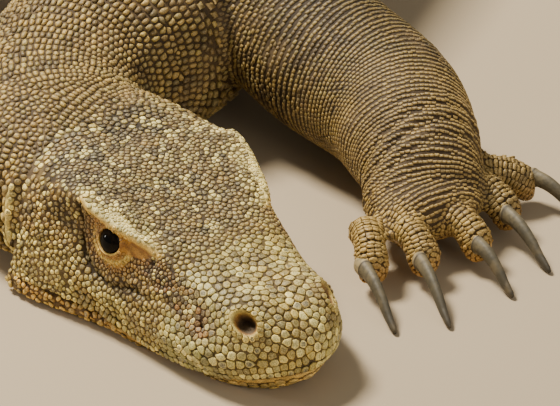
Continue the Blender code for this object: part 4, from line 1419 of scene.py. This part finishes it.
def hide_paint(name, groove, crest, wear_and_highlight, shade, spotted):
    """Scaled hide: painted shade down each scale's sides into its groove, a crest on each scale with wear
    and painted highlight, grime and fine grain.
    """
    paint = Paint(name)
    hue = paint.attribute("hue", "Color")
    rise = paint.attribute("rise")
    grain = paint.noise(1500.0, 4.0)
    grime = paint.noise(260.0)
    dust = paint.noise(38.0)
    # painted shade: each scale darkens by its height, from its crest down to the groove colour at its root
    colour = paint.mix(paint.ramp(rise, groove, crest), paint.tinted(hue, shade), hue)
    colour = paint.mix(paint.ramp(grime, 0.42, 0.72) * 0.35, colour, GRIME)
    if spotted:
        middle = paint.ramp(rise, 0.90, 0.99)
        colour = paint.mix(middle * spotted, colour, paint.tinted(colour, COOL_TINT))
        some = paint.ramp(paint.attribute("lot"), 1.0, 1.2)
        colour = paint.mix(middle * some * 0.8, colour, DARK_MIDDLE)
    # pale tops of the scales, speckled by grain: partly wear, partly painted highlight
    pale = paint.mix(0.5, hue, WORN_AND_HIGHLIGHT)
    colour = paint.mix(paint.ramp(rise, 0.7, 1.0) * paint.ramp(grain, 0.35, 0.7) * wear_and_highlight, colour, pale)
    colour = paint.mix(paint.ramp(dust, 0.5, 0.75) * 0.22, colour, DUST)
    speck = paint.ramp(grain, 0.25, 0.75, 0.60, 1.30)
    grey = paint.node("ShaderNodeCombineColor", {}, {0: speck, 1: speck, 2: speck})
    relief = paint.bumped(grain * 0.6 + grime * 0.8, 0.00045, 0.8)
    return paint.finish(base_color=paint.tinted(colour, grey),
                        roughness=0.72 - rise * 0.26 + grain * 0.1, normal=relief)


def claw_paint():
    paint = Paint("claw_horn")
    along = paint.attribute("along")
    streak = paint.noise(420.0, 4.0)
    blot = paint.noise(130.0, 2.0)
    colour = (0.36, 0.28, 0.14)
    for low, high, further in ((0.13, 0.15, (0.06, 0.045, 0.028)), (0.155, 0.175, (0.165, 0.135, 0.075)),
                               (0.2, 0.55, (0.085, 0.072, 0.043)), (0.6, 1.0, (0.045, 0.037, 0.024))):
        colour = paint.mix(paint.ramp(along, low, high), colour, further)
    colour = paint.mix(paint.ramp(streak, 0.42, 0.7) * 0.6, colour, (0.05, 0.045, 0.034))
    colour = paint.mix(paint.ramp(blot, 0.5, 0.72) * 0.35, colour, (0.25, 0.19, 0.10))
    return paint.finish(base_color=colour, roughness=0.50 + streak * 0.25,
                        normal=paint.bumped(streak, 0.0004, 0.7))


def eye_paint():
    paint = Paint("eye_wet")
    angle = paint.attribute("angle")
    fibre = paint.noise(900.0)
    iris = paint.mix(paint.ramp(fibre, 0.35, 0.7), (0.003, 0.002, 0.001), (0.008, 0.005, 0.003))
    colour = paint.mix(paint.ramp(angle, 0.26, 0.32), (0.002, 0.002, 0.002), iris)
    colour = paint.mix(paint.ramp(angle, 0.60, 0.72), colour, (0.006, 0.004, 0.003))
    for socket, value in (("Specular IOR Level", 0.0), ("Coat Weight", 0.22),
                          ("Coat Roughness", 0.02), ("Roughness", 0.3)):
        paint.shader.inputs[socket].default_value = value
    return paint.finish(base_color=colour)


# --- eyes and claws
def make_eye(side, name):
    mesh = bmesh.new()
    bmesh.ops.create_uvsphere(mesh, u_segments=48, v_segments=28, radius=EYE_RADIUS - 0.02)
    eye = as_object(mesh, name)
    points = points_of(eye.data)
    way = head_way(unit(np.array(GAZE)) * (1, side, 1))
    angle = np.arccos(np.clip(unit(points) @ way, -1, 1)) / (math.pi / 2)
    put_attribute(eye.data, "angle", angle)
    put_points(eye.data, points + head_place(EYE_PLACE * (1, side, 1)))
    return eye


def make_claw(start, heading, thick, length, name):
    rows = claw_rows(start, heading, thick, length, 34)
    rings = tube_rings(rows, np.linspace(0, len(rows) - 1, 46), 24, level=False)
    claw = as_object(rolled(rings), name)
    put_attribute(claw.data, "along", (points_of(claw.data) - start) @ heading / length)
    return claw


# --- the whole
# sides, profile, gap between scales, more gap between rows, share of height, lean, how far
# the tops run on across a row
SHAPES = {"head_snout": (8, PLATE, 0.008, 0.0, 0.32, 0.0, 0.0),
          "head_crown": (7, PEBBLE, 0.012, 0.0, 0.44, 0.0, 0.0),
          "head_cheeks": (7, BEAD, 0.011, 0.0, 0.42, 0.0, 0.2),
          "neck": (8, BEAD, 0.014, 0.022, 0.52, 0.22, 0.0),
          "arm_left": (6, SLAB, 0.004, 0.014, 0.20, 0.18, 0.9),
          "digits_arm_left": (8, SLAB, 0.0, 0.022, 0.26, 0.12, 1.0)}
PLAIN_SHAPE = (6, PLAIN, 0.016, 0.0, 0.55, 0.22, 0.0)


def piece_names(owner, parts, place):
    """Piece of every scale; the finest stretches are shared out between pieces."""
    local = half_head(place)
    upper_part = np.where(over_brow(place, local) > 0, "crown", "cheeks")
    stretch = np.where(local[:, 0] < SNOUT_BACK, "snout", upper_part)
    wrist = apart(place, np.array(ARM_LEFT[-1][:3])) < WRIST_REACH
    names = []
    for number, share, low in zip(owner, stretch, wrist):
        name = "scales_head_" + share if number == HEAD_OWNER else parts[number].piece
        names.append("scales_arm_left_lower" if name == "scales_arm_left" and low else name)
    return np.array(names)


def settle(thing, shift):
    put_points(thing.data, (points_of(thing.data) + shift) * CM)
    thing.data.shade_smooth()
    return thing


def unwrapped(parts, owner, place):
    """Place of each scale in the baked map of its piece, with a margin left all round."""
    unwrap = np.empty((len(place), 2))
    on_head = owner == HEAD_OWNER
    back, out, up = head_frame(place[on_head])
    turn = np.arctan2(out, up - 2.0) / (2 * math.pi) + 0.5
    unwrap[on_head] = np.stack([np.clip(back / 18, 0, 1), turn], 1)
    for number, part in enumerate(parts):
        mine = owner == number
        fellows = [other for other in parts if other.piece == part.piece]
        spot = part.unrolled(place[mine])
        spot[:, 0] = (spot[:, 0] * 0.98 + 0.01 + fellows.index(part)) / len(fellows)
        unwrap[mine] = spot
    return 0.004 + unwrap * 0.992


def wider_gap(place):
    """How much wider the gaps between scales are: most on the temples, least low down."""
    local = half_head(place)
    wider = 0.020 * bump(apart(local, (14.2, 4.8, 6.4), (1.8, 1.2, 1.1)), 0.9)
    return wider - 0.005 * ease(-local[:, 2], -3.2, -1.8)


def make_coat(hide, dice):
    """Scales over the whole hide, one piece for each stretch of the body."""
    parts = body_parts()
    place, normal, lie, long, wide, owner, freedom = rooted(hide, parts, dice)
    size = np.minimum(long, wide)
    waver = np.where(place[:, 0] < 0, JITTER, LEFT_JITTER)
    place = place + dice.normal(size=place.shape) * (size * waver)[:, None]
    place, normal = relaxed(hide, place, normal, size, freedom, RELAX_ROUNDS)
    place, normal, lie, long, wide, owner = kept(
        ~open_skin(place), place, normal, lie, long, wide, owner)
    lot = dice.normal(size=len(place))
    stout = np.exp(STOUTNESS * np.clip(dice.normal(size=len(place)), -2, 2))
    columns = {"place": place, "normal": normal, "hue": hide_hue(place, lot), "lot": lot,
               "unwrap": unwrapped(parts, owner, place)}
    wider = wider_gap(place)[:, None]
    piece_of = piece_names(owner, parts, place)
    pieces = []
    for name in sorted(set(piece_of)):
        kind = name.removeprefix("scales_").removesuffix("_lower")
        sides, profile, gap, row_gap, tall, lean, broad = SHAPES.get(kind, PLAIN_SHAPE)
        limit = np.maximum(long, wide) * (1.0 if "arm_left" in name else 0.8)
        reach, aim, first, second = cell_reach(place, normal, lie, sides, long, wide, limit)
        gap = gap + row_gap * np.abs(aim[..., 0])
        reach = np.maximum(reach - gap - wider, reach * 0.6)
        reach *= dice.uniform(0.92 + 0.07 * broad, 1.0, reach.shape)
        columns.update(first=first, second=second, aim=aim, reach=reach,
                       high=reach.mean(axis=1) * tall * stout)
        mine = piece_of == name
        roots = {key: column[mine] for key, column in columns.items()}
        pieces.append(scale_piece(name, sides, profile, lean, broad, roots))
    return pieces


def slot_of(name):
    """Slot of a piece of scales."""
    if name.startswith("scales_head"):
        return "hide_head"
    return "hide_hands" if "digits" in name or "neck" in name else "hide_body"


def colour_skin(skin):
    """Hue and lightness of the skin itself, darkened as painted shade where it shows between scales."""
    points = points_of(skin.data)
    tint, rise = hide_hue(points, np.zeros(len(points))), bare_rise(points)
    nape = (points[:, 1] < 8.0) & (points[:, 0] < 0.0)
    # painted shade on the skin that shows in the gaps between scales
    between = np.where(over_head(points) | nape, 0.35, 0.3)
    tint *= np.where(rise < 0.1, between, 1.0)[:, None]
    put_colour(skin.data, tint)
    put_attribute(skin.data, "rise", rise)


def make_animal():
    dice = np.random.default_rng(SEED)
    shift = draft_shift()
    skin = make_skin()
    coat = make_coat(Hide(skin), dice)
    colour_skin(skin)
    paints = {name: hide_paint(name, *settings) for name, settings in HIDES.items()}
    paints.update(claw=claw_paint(), eye=eye_paint())

    def finish(piece, slot, *nodes):
        settle(piece, shift)
        piece.data.materials.clear()
        piece.data.materials.append(paints[slot])
        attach(piece, "root")
        if nodes:
            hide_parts(*nodes)

    flesh_nodes = [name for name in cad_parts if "claw" not in name and "eye" not in name]
    finish(skin, "hide_body", *flesh_nodes)
    for piece in coat:
        finish(piece, slot_of(piece.name))
    for side, name in ((1, "left"), (-1, "right")):
        finish(make_eye(side, f"eyeball_{name}"), "eye", f"eye_{name}")
    for kind, side, limb, ahead, digits in LIMBS:
        for number, digit in enumerate(digits, 1):
            _, tip, _ = digit_line(limb[-1], ahead, side, digit)
            start, heading = claw_line(tip, ahead, side, digit)
            node = f"{'fore' if kind == 'arm' else 'hind'}_claw_{side}_{number}"
            claw = make_claw(start, heading, DIGIT_RADIUS[kind], digit[4], node + "_horn")
            finish(claw, "claw", node)


# --- stage
# name, place from the draft frame's origin in metres, size, power, colour
LIGHTS = [("key", (-0.9, 0.6, 1.9), 0.5, 104.0, (1.0, 0.92, 0.78)),
          ("side", (-1.9, 0.2, 0.6), 0.25, 9.0, (1.0, 0.96, 0.90)),
          ("fill", (1.4, -2.0, 1.2), 1.6, 19.0, (1.0, 0.94, 0.86))]
CAMERA_DISTANCE = 4.0
VIEW_WIDTH = 0.28               # what the camera takes in at the draft frame's origin
CAMERA_ELEVATION = math.radians(30.0)
SENSOR_WIDTH = 36.0
FLOOR_HALF = 12.0
WORLD_COLOUR, WORLD_STRENGTH = (1.0, 0.93, 0.80, 1.0), 0.28


def stand(name, data, place, sight):
    """A light or camera at a place, looking along a direction."""
    thing = linked(name, data)
    thing.location = place
    thing.rotation_euler = sight.to_track_quat("-Z", "Y").to_euler()
    return thing


def make_floor():
    mesh = bmesh.new()
    bmesh.ops.create_grid(mesh, x_segments=2, y_segments=2, size=FLOOR_HALF)
    floor = as_object(mesh, "floor")
    paint = Paint("floor_pale")
    cloud = paint.noise(3.0, 2.0)
    floor.data.materials.append(paint.finish(
        base_color=paint.mix(cloud, (0.42, 0.34, 0.23), (0.48, 0.39, 0.27)), roughness=0.9))


def make_stage():
    """Floor, plain world, three area lights and the camera."""
    make_floor()
    world = bpy.data.worlds.new("studio")
    world.use_nodes = True
    background = world.node_tree.nodes["Background"].inputs
    background["Color"].default_value = WORLD_COLOUR
    background["Strength"].default_value = WORLD_STRENGTH
    bpy.context.scene.world = world
    middle = Vector(draft_shift() * CM)
    for name, offset, size, power, colour in LIGHTS:
        light = bpy.data.lights.new(name, "AREA")
        light.size = size
        light.energy = power
        light.color = colour
        place = middle + Vector(offset)
        stand(name, light, place, middle - place)
    camera = bpy.data.cameras.new("camera")
    camera.sensor_width = SENSOR_WIDTH
    camera.lens = SENSOR_WIDTH * CAMERA_DISTANCE / VIEW_WIDTH
    camera.clip_start, camera.clip_end = 0.1, 50.0
    sight = Vector((0.0, math.cos(CAMERA_ELEVATION), -math.sin(CAMERA_ELEVATION)))
    bpy.context.scene.camera = stand("camera", camera, middle - sight * CAMERA_DISTANCE, sight)


make_animal()
make_stage()
